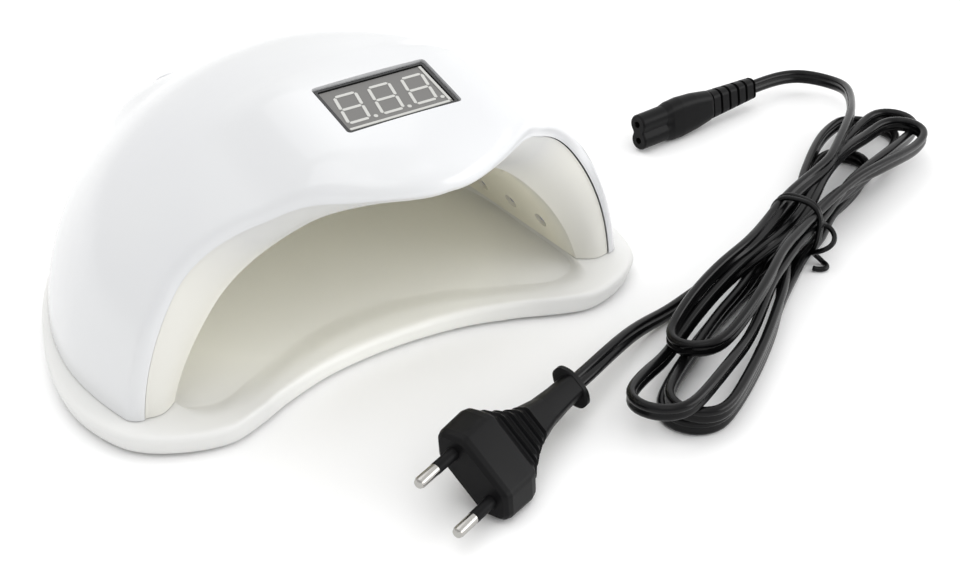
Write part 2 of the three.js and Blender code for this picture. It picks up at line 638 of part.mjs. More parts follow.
function addButtons() {
  const panel = subGroup(buttonFrame);
  const flangeZ = BUTTONS.plateBottom - GAP - 1.2;
  const plungerTop = flangeZ - 1.5;
  const switchTop = plungerTop - 1.2;
  const cap = turned([
    [0, flangeZ], [BUTTONS.radius + 1.2, flangeZ], [BUTTONS.radius + 1.2, flangeZ + 1.2],
    [BUTTONS.radius, flangeZ + 1.2], [BUTTONS.radius, BUTTONS.proud - 0.5],
    [BUTTONS.radius - 0.6, BUTTONS.proud], [0, BUTTONS.proud + 0.25],
  ]); // prettier-ignore
  const plunger = turned([[0, switchTop - 1], [1.6, switchTop - 1], [1.6, plungerTop], [0, plungerTop]], 12);
  const switchBody = cut(solid(box(6, 6, 3.5)), solid(peg(1.6 + GAP, 9, 12)));
  for (let i = 0; i < BUTTONS.count; i++) {
    const at = moveTo(buttonX(i), 0, 0);
    const stem = peg(1.5, 1.5 - GAP, 12).translate(0, 0, plungerTop + GAP);
    add(`timer_button_${i + 1}`, join(solid(cap), solid(stem)), "shell", at, panel);
    add(`switch_plunger_${i + 1}`, plunger, "black", at, panel);
    add(`switch_body_${i + 1}`, switchBody, "black", moveTo(buttonX(i), 0, switchTop - 1.75), panel);
  }
  add("button_board", box(62, 12, 1.6), "board", moveTo(0, 0, switchTop - 3.5 - GAP - 0.8), panel);
}

function addPower() {
  for (const [name, y] of Object.entries(LED_ROWS)) add(`led_board_${name}`, lightBoard(y), "lens");
  const supply = subGroup(moveTo(0, 0.5, 73.6).multiply(new THREE.Matrix4().makeRotationX(rad(-15.8))));
  const top = 0.8 + GAP;
  add("power_board", box(62, 58, 1.6), "board", new THREE.Matrix4(), supply);
  add("transformer", rounded(22, 20, 14, 1), "ferrite", moveTo(-4, 2, top + 7), supply);
  const canX = new THREE.Matrix4().makeRotationZ(Math.PI / 2);
  const mains = turned([[0, 0], [4.6, 0], [5, 0.5], [5, 17.5], [4.6, 18], [0, 18]], 18).rotateX(Math.PI / 2);
  add("mains_capacitor", mains, "black", moveTo(8.6, 6, top + 5).multiply(canX), supply);
  add("output_capacitor", peg(4, 10, 18), "black", moveTo(-22, 16, top), supply);
  add("heat_sink", box(3, 26, 10), "aluminium", moveTo(-25, -8, top + 5), supply);
  add("mains_fuse", peg(2.2, 8, 14), "face", moveTo(20, -20, top), supply);
}

function addInlet() {
  add("mains_inlet", mainsInlet(), "black");
  const pin = turned([[0, 0], [1.2, 0], [1.2, 19], [0.6, 20.5], [0, 20.5]], 12);
  for (const [name, side] of [["right", 1], ["left", -1]]) {
    const place = moveTo((side * INLET.pinGap) / 2, INLET.faceY - INLET.depth - 1, INLET.z);
    place.multiply(faceRear);
    add(`inlet_pin_${name}`, pin, "brass", place);
  }
}

function addTray() {
  add("base_tray", baseTray(), "tray");
  const plate = peg(MAGNET.radius, 2.3);
  for (const [name, side] of [["right", 1], ["left", -1]]) {
    add(`tray_steel_disc_${name}`, plate, "steel", moveTo(side * MAGNET.x, MAGNET.y, TRAY.bottom));
  }
  for (const [name, [x, y]] of Object.entries(FOOT_PLACES)) {
    const pad = turned([[0, 0], [5.4, 0], [6, 0.5], [6, 1.9], [0, 1.9]], 20);
    add(`foot_${name}`, pad, "rubber", moveTo(x, y, 0));
  }
}

// The placing of a piece that lies along +X, turned to its heading, pitch and roll.
function lie(place, { heading, pitch, roll }) {
  const angles = new THREE.Euler(rad(roll), rad(pitch), rad(heading), "ZYX");
  const turn = new THREE.Matrix4().makeRotationFromEuler(angles);
  return moveTo(...place).multiply(turn);
}

function addLead() {
  const connector = subGroup(lie(CONNECTOR.tip, CONNECTOR));
  add("lead_connector", leadConnector(), "black", undefined, connector);
  add("lead_relief", strainRelief(), "black", moveTo(CONNECTOR.body + GAP, 0, 0), connector);
  add("lead_cord_connector_side", cordTube(connectorRoute, CONNECTOR.roll, 90), "flex");
  const hankTurn = new THREE.Matrix4().makeRotationZ(rad(HANK.heading));
  const hank = subGroup(moveTo(...HANK.tie, HANK.bottom).multiply(hankTurn));
  add("lead_hank", hankBlock(), "flex", undefined, hank);
  add("lead_tie", leadTie(), "black", moveTo(0, 0, HANK.height / 2), hank);
  add("lead_cord_plug_side", cordTube(plugRoute, 145, 180 - PLUG.roll), "flex");
  const plug = subGroup(lie(PLUG.face, PLUG));
  add("plug_body", plugBody(), "black", undefined, plug);
  add("plug_relief", plugCollar(), "black", undefined, plug);
  const { radius: r, sleeve: sleeveLength, tip: tipLength, side: offset } = PLUG_PIN;
  const sleeve = turned([[0, 0], [r, 0], [r, sleeveLength], [0, sleeveLength]], 14).applyMatrix4(alongX);
  const tipProfile = [[0, 0], [1.2, 0], [r, 1.4], [r, tipLength], [0, tipLength]];
  const tip = turned(tipProfile, 14).applyMatrix4(alongX);
  for (const [name, side] of [["right", 1], ["left", -1]]) {
    const sleeveX = 4.6 - sleeveLength;
    add(`plug_sleeve_${name}`, sleeve, "black", moveTo(sleeveX, side * offset, 0), plug);
    add(`plug_pin_${name}`, tip, "steel", moveTo(sleeveX - GAP - tipLength, side * offset, 0), plug);
  }
}

addHousing();
addDisplay();
addButtons();
addPower();
addInlet();
addTray();
addLead();

export default group;
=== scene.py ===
"""A UV curing lamp and its mains lead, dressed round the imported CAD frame. Metres, +Z up."""

import math

import bmesh
import bpy
import numpy as np
from mathutils import Matrix, Vector


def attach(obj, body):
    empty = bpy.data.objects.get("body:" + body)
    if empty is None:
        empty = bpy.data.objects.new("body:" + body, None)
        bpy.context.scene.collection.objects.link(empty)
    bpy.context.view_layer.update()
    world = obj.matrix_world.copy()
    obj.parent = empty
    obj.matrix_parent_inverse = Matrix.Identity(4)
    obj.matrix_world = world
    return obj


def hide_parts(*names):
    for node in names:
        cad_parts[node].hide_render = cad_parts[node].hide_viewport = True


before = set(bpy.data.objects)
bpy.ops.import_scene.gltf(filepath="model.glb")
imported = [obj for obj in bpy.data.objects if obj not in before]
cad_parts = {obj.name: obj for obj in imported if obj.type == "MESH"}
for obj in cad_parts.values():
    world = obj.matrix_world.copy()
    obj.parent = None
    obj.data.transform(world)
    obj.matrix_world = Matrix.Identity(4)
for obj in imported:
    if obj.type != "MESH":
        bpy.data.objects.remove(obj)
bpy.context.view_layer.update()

MM = 0.001
TAU = 2 * math.pi


# ---- Camera, floor and lights ----
def aim(obj, back):
    """Points an object's -Z away from the direction back, with no roll."""
    obj.rotation_euler = Vector(back).to_track_quat("Z", "Y").to_euler()


def make_camera():
    azimuth, elevation = math.radians(-34.328), math.radians(31.343)
    data = bpy.data.cameras.new("camera")
    data.sensor_width = 36
    data.lens = 65.6
    camera = bpy.data.objects.new("camera", data)
    camera.location = (-0.2654, -0.51035, 0.3409)
    flat = math.cos(elevation)
    aim(camera, (math.sin(azimuth) * flat, -math.cos(azimuth) * flat, math.sin(elevation)))
    bpy.context.collection.objects.link(camera)
    bpy.context.scene.camera = camera


def make_light(name, place, target, size, energy):
    data = bpy.data.lights.new(name, "AREA")
    data.shape = "RECTANGLE"
    data.size, data.size_y = size
    data.energy = energy
    lamp = bpy.data.objects.new(name, data)
    lamp.location = place
    aim(lamp, Vector(place) - Vector(target))
    bpy.context.collection.objects.link(lamp)


SKY = (0.53, 1.15)  # the brightness of the sky low in front, and overhead towards the rear
SKY_AIM = (0.25, 0.35, 0.9)


def make_stage():
    mesh = bpy.data.meshes.new("floor")
    half = 3.0
    corners = [(-half, -half, 0), (half, -half, 0), (half, half, 0), (-half, half, 0)]
    mesh.from_pydata(corners, [], [(0, 1, 2, 3)])
    floor = bpy.data.objects.new("floor", mesh)
    bpy.context.collection.objects.link(floor)
    floor_look = bpy.data.materials.new("floor_paper")
    floor_look.use_nodes = True
    shader = floor_look.node_tree.nodes["Principled BSDF"]
    shader.inputs["Base Color"].default_value = (0.97, 0.97, 0.97, 1)
    shader.inputs["Roughness"].default_value = 0.9
    mesh.materials.append(floor_look)
    world = bpy.data.worlds.new("studio")
    world.use_nodes = True
    tree = world.node_tree
    place = tree.nodes.new("ShaderNodeTexCoord")
    facing = tree.nodes.new("ShaderNodeVectorMath")
    facing.operation = "DOT_PRODUCT"
    facing.inputs[1].default_value = SKY_AIM
    brightness = tree.nodes.new("ShaderNodeMapRange")
    for socket, value in zip(("From Min", "From Max", "To Min", "To Max"), (-0.5, 0.9, *SKY)):
        brightness.inputs[socket].default_value = value
    tree.links.new(place.outputs["Generated"], facing.inputs[0])
    tree.links.new(facing.outputs["Value"], brightness.inputs["Value"])
    tree.links.new(brightness.outputs["Result"], tree.nodes["Background"].inputs["Strength"])
    tree.nodes["Background"].inputs["Color"].default_value = (1, 1, 1, 1)
    bpy.context.scene.world = world
    make_light("key", (-0.5, -0.7, 1.4), (0, 0, 0.05), (1.0, 1.0), 2.5)
    make_light("fill", (1.1, -0.9, 0.45), (0.03, 0, 0.05), (1.3, 0.7), 8.5)
    make_light("top", (0.1, 0.5, 1.5), (0, 0, 0), (1.4, 1.0), 3)
    bpy.context.scene.view_settings.view_transform = "Standard"


make_camera()
make_stage()


# ---- Materials ----
class Look:
    """A node material: a Principled shader, with helpers that wire textures in object space."""

    def __init__(self, name, color, roughness, **inputs):
        self.material = bpy.data.materials.new(name)
        self.material.use_nodes = True
        self.tree = self.material.node_tree
        self.shader = self.tree.nodes["Principled BSDF"]
        self.color = (*color, 1)
        self.roughness = roughness
        self.set("Base Color", self.color)
        self.set("Roughness", roughness)
        for key, value in inputs.items():
            self.set(key.replace("_", " ").title().replace("Ior", "IOR"), value)
        self.place = self.node("ShaderNodeTexCoord").outputs["Object"]
        self.height = None

    def set(self, socket, value):
        self.shader.inputs[socket].default_value = value

    def node(self, kind, **settings):
        made = self.tree.nodes.new(kind)
        for key, value in settings.items():
            setattr(made, key, value)
        return made

    def link(self, a, b):
        self.tree.links.new(a, b)

    def noise(self, scale, detail=3, stretch=(1, 1, 1)):
        mapping = self.node("ShaderNodeMapping")
        mapping.inputs["Scale"].default_value = stretch
        self.link(self.place, mapping.inputs["Vector"])
        texture = self.node("ShaderNodeTexNoise")
        texture.inputs["Scale"].default_value = scale
        texture.inputs["Detail"].default_value = detail
        self.link(mapping.outputs["Vector"], texture.inputs["Vector"])
        return texture.outputs["Fac"]

    def spread(self, value, low, high):
        """Maps 0..1 to low..high."""
        ramp = self.node("ShaderNodeMapRange")
        ramp.inputs["To Min"].default_value = low
        ramp.inputs["To Max"].default_value = high
        self.link(value, ramp.inputs["Value"])
        return ramp.outputs["Result"]

    def vary_roughness(self, value, low, high):
        self.link(self.spread(value, low, high), self.shader.inputs["Roughness"])

    def vary_color(self, value, other, low=0.35, high=0.65):
        ramp = self.node("ShaderNodeValToRGB")
        ramp.color_ramp.elements[0].position = low
        ramp.color_ramp.elements[0].color = self.color
        ramp.color_ramp.elements[1].position = high
        ramp.color_ramp.elements[1].color = (*other, 1)
        self.link(value, ramp.inputs["Fac"])
        self.link(ramp.outputs["Color"], self.shader.inputs["Base Color"])

    def bump(self, value, distance, strength=1.0):
        node = self.node("ShaderNodeBump")
        node.inputs["Strength"].default_value = strength
        node.inputs["Distance"].default_value = distance
        self.link(value, node.inputs["Height"])
        if self.height is not None:
            self.link(self.height, node.inputs["Normal"])
        self.height = node.outputs["Normal"]
        self.link(self.height, self.shader.inputs["Normal"])


def srgb(*values):
    """Colours written as 0..255 display values."""
    return tuple(((v / 255 + 0.055) / 1.055) ** 2.4 if v > 10 else v / 255 / 12.92 for v in values)


def moulded(name, color, other, roughness, grain, **inputs):
    """A moulded plastic: slight tone drift, patchy gloss, and a fine surface grain."""
    look = Look(name, color, roughness, **inputs)
    drift = look.noise(14, 2)
    look.vary_color(drift, other)
    look.vary_roughness(look.noise(60, 4), roughness * 0.85, roughness * 1.2)
    look.bump(look.noise(9, 2), 0.0004, 0.15)
    if grain:
        look.bump(look.noise(2600, 2), 0.00003, grain)
    return look.material


def painted_light_grade(name, color, other, along, limits):
    """A plastic with painted light and shade: its colour is graded between two limits, in depth along Y, or
    in reach from the middle, to make up for how light falls.
    """
    look = Look(name, color, 0.42)
    split = look.node("ShaderNodeSeparateXYZ")
    look.link(look.place, split.inputs["Vector"])
    measure = split.outputs["Y"]
    if along == "reach":
        flat = look.node("ShaderNodeCombineXYZ")
        look.link(split.outputs["X"], flat.inputs["X"])
        look.link(split.outputs["Y"], flat.inputs["Y"])
        length = look.node("ShaderNodeVectorMath", operation="LENGTH")
        look.link(flat.outputs["Vector"], length.inputs[0])
        measure = length.outputs["Value"]
    ramp = look.node("ShaderNodeMapRange")
    for socket, value in zip(("From Min", "From Max"), limits):
        ramp.inputs[socket].default_value = value
    look.link(measure, ramp.inputs["Value"])
    look.vary_color(ramp.outputs["Result"], other, 0, 1)
    look.vary_roughness(look.noise(60, 4), 0.38, 0.48)
    look.bump(look.noise(9, 2), 0.0004, 0.15)
    return look.material


WHITE_GLOSS = moulded("gloss_white", srgb(219, 220, 221), srgb(216, 217, 219), 0.2, 0,
                      coat_weight=0.3, coat_roughness=0.08)
# Painted light: the liner's colour grades from grey at the front band to a lighter cream deep inside, painted
# to make up for the shade that falls inside the opening.
LINER_PAINTED_LIGHT = painted_light_grade("satin_cream_painted_light", srgb(208, 208, 206), srgb(252, 249, 234), "depth", (-0.076, -0.052))
# Painted light: the tray is painted lighter on its floor under the dome and greyer towards its outer rim, to
# make up for the shade that falls under the dome.
TRAY_PAINTED_LIGHT = painted_light_grade("tray_white", srgb(250, 250, 245), srgb(226, 226, 224), "reach", (0.07, 0.1))
BLACK_MOULDED = moulded("black_moulded", srgb(15, 15, 16), srgb(12, 12, 13), 0.4, 0.5,
                        specular_ior_level=0.12)
BLACK_FLEX = moulded("black_flex", srgb(7, 7, 8), srgb(9, 9, 10), 0.24, 0.15, specular_ior_level=0.2)
BLACK_GLOSS = moulded("black_bezel", srgb(20, 21, 22), srgb(26, 27, 28), 0.25, 0.1)
RUBBER = moulded("foot_rubber", srgb(62, 62, 62), srgb(54, 54, 54), 0.85, 1.0)
DIGIT_FACE = moulded("digit_face", srgb(106, 105, 103), srgb(112, 111, 109), 0.38, 0.05)
SEGMENT = moulded("segment_unlit", srgb(196, 196, 192), srgb(188, 188, 184), 0.4, 0.05)
BOARD = moulded("solder_mask", srgb(28, 88, 52), srgb(22, 74, 44), 0.4, 0.3)
EMITTER = moulded("emitter_lens", srgb(226, 226, 236), srgb(206, 206, 226), 0.12, 0, coat_weight=0.6)
TAPE = moulded("core_tape", srgb(216, 194, 74), srgb(200, 178, 64), 0.5, 0.3)


def metal(name, color, roughness):
    """A metal with fine drawn lines and slight smudges."""
    look = Look(name, color, roughness, metallic=1.0)
    look.vary_roughness(look.noise(90, 4), roughness * 0.8, roughness * 1.4)
    look.bump(look.noise(700, 2, (1, 14, 14)), 0.00002, 0.4)
    return look.material


STEEL = metal("plated_steel", (0.6, 0.6, 0.61), 0.28)
NICKEL = metal("nickel_pin", (0.42, 0.41, 0.39), 0.2)
BRASS = metal("inlet_brass", (0.72, 0.55, 0.24), 0.25)
ALUMINIUM = metal("sink_aluminium", (0.7, 0.71, 0.72), 0.35)


# ---- Mesh helpers ----
def new_mesh(name, points, faces, look, body, slot, sharp=35):
    """A piece from points in millimetres."""
    mesh = bpy.data.meshes.new(name)
    whole_faces = [tuple(int(i) for i in f) for f in faces]
    mesh.from_pydata([tuple(MM * c for c in p) for p in points], [], whole_faces)
    mesh.validate()
    obj = bpy.data.objects.new(name, mesh)
    bpy.context.collection.objects.link(obj)
    tidy(obj, sharp)
    mesh.materials.append(look)
    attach(obj, body)
    return obj


def tidy(obj, sharp):
    """Merges doubled points, turns the faces outwards and shades them smooth up to an angle."""
    made = bmesh.new()
    made.from_mesh(obj.data)
    bmesh.ops.remove_doubles(made, verts=made.verts, dist=2e-6)
    bmesh.ops.dissolve_degenerate(made, edges=made.edges, dist=1e-6)
    bmesh.ops.recalc_face_normals(made, faces=made.faces)
    made.to_mesh(obj.data)
    made.free()
    obj.data.shade_smooth()
    obj.data.set_sharp_from_angle(angle=math.radians(sharp))


def grid_faces(rows, columns, closed=False):
    """Quads over a grid of rows x columns points; closed joins the last column to the first."""
    faces = []
    for r in range(rows - 1):
        for c in range(columns if closed else columns - 1):
            a, b = r * columns + c, r * columns + (c + 1) % columns
            faces.append((a, b, b + columns, a + columns))
    return faces


def tube(rings):
    """Points and faces of a closed skin over closed rings, with flat caps."""
    count = len(rings[0])
    points = [p for ring in rings for p in ring]
    faces = grid_faces(len(rings), count, closed=True)
    faces.append(tuple(reversed(range(count))))
    faces.append(tuple(range(len(points) - count, len(points))))
    return points, faces


def cutter(points, faces):
    """A loose solid to cut with."""
    mesh = bpy.data.meshes.new("cutter")
    mesh.from_pydata([tuple(MM * c for c in p) for p in points], [], faces)
    obj = bpy.data.objects.new("cutter", mesh)
    bpy.context.collection.objects.link(obj)
    tidy(obj, 30)
    return obj


def cut(obj, tools, sharp):
    """Cuts each tool out of a piece, and removes the tools."""
    for tool in tools:
        change = obj.modifiers.new("cut", "BOOLEAN")
        change.operation = "DIFFERENCE"
        change.solver = "EXACT"
        change.object = tool
        bpy.context.view_layer.update()
        made = bpy.data.meshes.new_from_object(obj.evaluated_get(bpy.context.evaluated_depsgraph_get()))
        obj.modifiers.clear()
        obj.data = made
        bpy.data.objects.remove(tool)
    tidy(obj, sharp)


def round_rect(width, height, radius, steps=5):
    """A rounded rectangle about the origin."""
    points = []
    for turn, sx, sy in ((0, 1, 1), (1, -1, 1), (2, -1, -1), (3, 1, -1)):
        for i in range(steps + 1):
            angle = TAU / 4 * (turn + i / steps)
            x = sx * (width / 2 - radius) + radius * math.cos(angle)
            points.append((x, sy * (height / 2 - radius) + radius * math.sin(angle)))
    return points


def prism(outline, levels):
    """A closed solid: the outline drawn at each (z, grow), where grow pushes it outwards."""
    count = len(outline)
    normals = []
    for i in range(count):
        (ax, ay), (bx, by) = outline[i - 1], outline[(i + 1) % count]
        length = math.hypot(bx - ax, by - ay) or 1
        normals.append(((by - ay) / length, (ax - bx) / length))
    around = list(zip(outline, normals))
    return tube([[(x + nx * grow, y + ny * grow, z) for (x, y), (nx, ny) in around] for z, grow in levels])


def turned(profile, sides=48):
    """A solid of revolution about Z from (radius, z) pairs, which start and end on the axis."""
    rings = []
    turns = [TAU * i / sides for i in range(sides)]
    for radius, z in profile:
        r = max(radius, 1e-4)
        rings.append([(r * math.cos(turn), r * math.sin(turn), z) for turn in turns])
    return tube(rings)


def placed(shape, place):
    """A shape's points moved by a matrix in millimetres."""
    points, faces = shape
    return [tuple(place @ Vector(p)) for p in points], faces


def merged(*shapes):
    """Several shapes as one."""
    points, faces = [], []
    for some, others in shapes:
        first = len(points)
        points.extend(some)
        faces.extend(tuple(first + i for i in face) for face in others)
    return points, faces


# ---- The lead: one flat two-core cord, from its connector through a tied hank to its plug ----
FLEX = {"half_width": 3.1, "core": 1.75, "lie": 0.12}
TIE = np.array([164.0, -96.0])
HANK_HEADING = math.radians(24)
CONNECTOR = {"tip": (168.3, 5.5, 8.9), "heading": 5.6, "pitch": 0, "roll": 80, "body": 43, "relief": 27}
PLUG = {"face": (-28, -158, 13.6), "heading": 23.5, "pitch": 2.2, "roll": 42, "body": 36, "half_width": 17.6,
        "half_thickness": 6.85, "neck": 27}
PIN_SIDE, SOCKET_SIDE = 9.3, 3.6
RIBS_FROM, RIBS_TO, RIB_PITCH = 17, 33, 4  # the ribs round the plug, from its face
SECTION_STEP = 0.25  # between a moulding's sections
HANK_TOP = 20  # how high the lead's centreline climbs where it crosses itself
HUMP_FALL = 0.004  # how fast a hump falls away with the square of the run
OWN_RUN = 24  # the run within which the lead can't cross itself
ON_EDGE, TIE_LEAN = 93, 52  # the roll in degrees where it runs free, and what the tie adds
CROSSING_SHARE = 0.96  # the share of two passes' reach at which they cross
TIE_RUN = 9  # how far each pass runs straight on either side of the tie
PASS_WIDTH, PASS_HEIGHT, LOWEST_PASS = 6.1, 4.3, 2.6  # the spacing of the passes in the tie
CONNECTOR_RUN = [(238.2, 12.4, 8.9), (246, 13.2, 8.7), (254.5, 13.7, 7.9), (262.5, 13, 6.8), (269.3, 10, 5.6),
                 (273.4, 4.2, 4.7), (274.4, -4, 4), (271.5, -12.8, 3.4), (264.5, -22.8, 0), (255.5, -32.5, 0),
                 (243, -44.5, 0), (229, -55.5, 0), (212, -67.5, 0), (198, -76.5, 0)]
PLUG_RUN = [(144, -93, 0), (131, -96.2, 0), (118, -99.4, 0), (105, -102.8, 0), (93, -106.3, 0),
            (81, -110.2, 0), (69.5, -114.7, 3.6), (58.5, -119.9, 5), (48, -125, 7.6), (38.5, -129.4, 9.8),
            (30.2, -132.7, 11.1)]
# Each loop of the hank: length, heading in degrees, half width. Lower and upper loops take turns.
LOOPS = [(102, -154, 11), (106, 20, 10.5), (142, -152, 12), (119, 25, 10.5), (131, -148, 11), (117, 30, 14),
         (130, -149, 12), (84, 31, 10.5)]
# A loop before its round end, as shares of its length and its half width.
LOOP_SHAPE = [(0.32, 0.6), (0.5, 0.86), (0.68, 1)]
# Where each pass through the tie lies in the bundle: column across, row up.
PASSES = [(1, 2), (-1, 2), (0, 2), (-1, 1), (1, 1), (0, 1), (0, 0), (-1, 0), (1, 0)]


def catmull(points, step):
    """Evenly spaced points on a smooth curve through the given ones."""
    p = np.array(points, float)
    p = np.vstack([2 * p[0] - p[1], p, 2 * p[-1] - p[-2]])
    dense = []
    t = np.linspace(0, 1, 24, endpoint=False)[:, None]
    for a, b, c, d in zip(p, p[1:], p[2:], p[3:]):
        square, cube = 2 * a - 5 * b + 4 * c - d, 3 * b - a - 3 * c + d
        dense.append(0.5 * (2 * b + (c - a) * t + square * t**2 + cube * t**3))
    dense = np.vstack([*dense, p[-2:-1]])
    along = np.concatenate([[0], np.cumsum(np.linalg.norm(np.diff(dense, axis=0), axis=1))])
    even = np.linspace(0, along[-1], max(2, round(along[-1] / step)))
    return np.column_stack([np.interp(even, along, dense[:, i]) for i in range(dense.shape[1])])


def hank_plan():
    """Control points (x, y, tie height or floor) and the section of the lead that each belongs to."""
    axis = np.array([math.cos(HANK_HEADING), math.sin(HANK_HEADING)])
    across = np.array([-axis[1], axis[0]])
    plan = [(x, y, z, 0) for x, y, z in CONNECTOR_RUN]
    for k, (column, row) in enumerate(PASSES):
        downward = -1 if k % 2 == 0 else 1
        height = LOWEST_PASS + row * PASS_HEIGHT
        for along in (-TIE_RUN, TIE_RUN):
            x, y = TIE + axis * along * downward + across * column * PASS_WIDTH
            plan.append((x, y, height, k + (along > 0)))
        if k == len(LOOPS):
            break
        length, heading, width = LOOPS[k]
        out = np.array([math.cos(math.radians(heading)), math.sin(math.radians(heading))])
        side = np.array([-out[1], out[0]]) * (-1 if k % 2 == 0 else 1)
        turn = -1 if k % 2 else 1
        there = [(length * f, width * s) for f, s in LOOP_SHAPE]
        there.append((length - 1.6 * width, width))
        for degrees in (30, 60):
            angle = math.radians(degrees)
            there.append((length - width + width * math.sin(angle), width * math.cos(angle)))
        back = [(f, -s) for f, s in reversed(there)]
        for f, s in [*there, (length, 0), *back]:
            x, y = TIE + out * f + side * s * turn
            plan.append((x, y, 0, k + 1))
    plan += [(x, y, z, len(PASSES)) for x, y, z in PLUG_RUN]
    return plan


def soften(values, count):
    """Rounds off a row of values over count neighbours, and keeps its two ends."""
    kernel = np.hanning(count + 2)[1:-1]
    padded = np.pad(values, count // 2, mode="reflect", reflect_type="odd")
    return np.convolve(padded, kernel / kernel.sum(), mode="valid")


def half_sizes(roll):
    """How far the flat cord reaches across and up from its centre, when rolled about its length."""
    wide, thick = FLEX["half_width"], FLEX["core"]
    c, s = np.cos(roll), np.sin(roll)
    return np.hypot(wide * c, thick * s), np.hypot(wide * s, thick * c)


def settle(line, section, height, roll):
    """Lays the lead down: later sections lie on the floor, and earlier ones pass over them in low humps."""
    across, up = half_sizes(roll)
    floor = up + FLEX["lie"]
    z = floor.copy()
    along = np.concatenate([[0], np.cumsum(np.linalg.norm(np.diff(line, axis=0), axis=1))])
    for k in sorted(set(section), reverse=True):
        mine = np.where(section == k)[0]
        under = np.where(section > k)[0]
        need = np.maximum(floor[mine], height[mine])
        if len(under):
            apart = np.linalg.norm(line[mine][:, None] - line[under][None], axis=2)
            reach = CROSSING_SHARE * (across[mine][:, None] + across[under][None])
            rise = up[mine][:, None] + up[under][None]
            near = (apart < reach) & (np.abs(along[mine][:, None] - along[under][None]) > OWN_RUN)
            lift = z[under][None] + rise * np.sqrt(np.maximum(0, 1 - (apart / reach) ** 2))
            need = np.maximum(need, np.minimum(np.where(near, lift, 0).max(axis=1), HANK_TOP))
        gap = along[mine][:, None] - along[mine][None]
        z[mine] = np.maximum(floor[mine], (need[None] - HUMP_FALL * gap**2).max(axis=1))
    gap = along[:, None] - along[None]
    z = np.maximum(z, (z[None] - HUMP_FALL * gap**2).max(axis=1))
    return soften(z, 13)


def ease(value, low, high):
    t = np.clip((value - low) / (high - low), 0, 1)
    return t * t * (3 - 2 * t)


def lead_roll(flat, run):
    """The cord stands on edge where it turns, and lies flatter where the tie gathers it."""
    from_tie = np.linalg.norm(flat - TIE, axis=1)
    roll = ON_EDGE + TIE_LEAN * (1 - ease(from_tie, 14, 60))
    start, end = ease(run, 0, 60), ease(run[-1] - run, 0, 70)
    roll = CONNECTOR["roll"] * (1 - start) + roll * start
    return np.radians((180 - PLUG["roll"]) * (1 - end) + roll * end)


def lead_route():
    """The lead's centreline in millimetres, from the connector's relief to the plug's neck, and its roll."""
    plan = np.array(hank_plan())
    line = catmull(plan, 2.4)
    flat = np.column_stack([soften(line[:, i], 9) for i in (0, 1)])
    chord = np.concatenate([[0], np.cumsum(np.linalg.norm(np.diff(plan[:, :2], axis=0), axis=1))])
    run = np.concatenate([[0], np.cumsum(np.linalg.norm(np.diff(flat, axis=0), axis=1))])
    stretch = np.interp(run / run[-1], chord / chord[-1], np.arange(len(plan)))
    section = np.rint(np.interp(stretch, np.arange(len(plan)), plan[:, 3])).astype(int)
    roll = lead_roll(flat, run)
    return np.column_stack([flat, settle(flat, section, line[:, 2], roll)]), roll


def flex_section():
    """The flat cord's outline: two round cores side by side, with a groove between them."""
    offset = FLEX["half_width"] - FLEX["core"]
    reach = math.radians(138)
    points = []
    for side in (1, -1):
        for i in range(11):
            angle = -reach + 2 * reach * i / 10
            x = side * offset + side * FLEX["core"] * math.cos(angle)
            points.append((x, side * FLEX["core"] * math.sin(angle)))
    return points


def sweep(line, outline, roll):
    """Rings of an outline along a line, kept level; the outline's first axis lies across the line."""
    tangent = np.gradient(line, axis=0)
    tangent /= np.linalg.norm(tangent, axis=1)[:, None]
    rings = []
    for i, (p, t) in enumerate(zip(line, tangent)):
        side = np.cross((0, 0, 1), t)
        side /= np.linalg.norm(side)
        up = np.cross(t, side)
        c, s = math.cos(roll[i]), math.sin(roll[i])
        side, up = side * c + up * s, up * c - side * s
        rings.append([tuple(p + side * a + up * b) for a, b in outline])
    return rings


def lie(facts, origin):
    """The placing of a piece that lies along +X, turned to its heading, pitch and roll."""
    turn = Matrix.Translation(facts[origin])
    for angle, axis in ((facts["heading"], "Z"), (facts["pitch"], "Y"), (facts["roll"], "X")):
        turn = turn @ Matrix.Rotation(math.radians(angle), 4, axis)
    return turn


def loft(sections):
    """A closed skin over outlines of equal point count in the YZ plane, each at its x."""
    return tube([[(x, y, z) for y, z in outline] for x, outline in sections])


def round_corners(corners, radius, steps=4):
    """A convex outline with each corner rounded."""
    points = []
    count = len(corners)
    for i in range(count):
        before, here, after = (Vector(corners[j % count]) for j in (i - 1, i, i + 1))
        a, b = (before - here), (after - here)
        reach = min(radius, a.length * 0.45, b.length * 0.45)
        start, end = here + a.normalized() * reach, here + b.normalized() * reach
        for s in range(steps + 1):
            t = s / steps
            points.append(tuple(start * (1 - t) ** 2 + here * 2 * t * (1 - t) + end * t**2))
    return points


def bar(half_y, half_z, flat, side=0.2):
    """An eight-cornered bar section: a flat top and bottom, chamfered sides."""
    corners = [(half_y, -half_z * side), (half_y, half_z * side), (half_y * flat, half_z),
               (-half_y * flat, half_z), (-half_y, half_z * side), (-half_y, -half_z * side),
               (-half_y * flat, -half_z), (half_y * flat, -half_z)]
    return round_corners(corners, 1.4)


def blend_at(x, table):
    """Reads a row of values off a table of (x, values...) rows, linearly."""
    xs = [row[0] for row in table]
    i = max(0, min(len(xs) - 2, sum(x >= v for v in xs) - 1))
    t = min(1, max(0, (x - xs[i]) / (xs[i + 1] - xs[i])))
    return [a + (b - a) * t for a, b in zip(table[i][1:], table[i + 1][1:])]


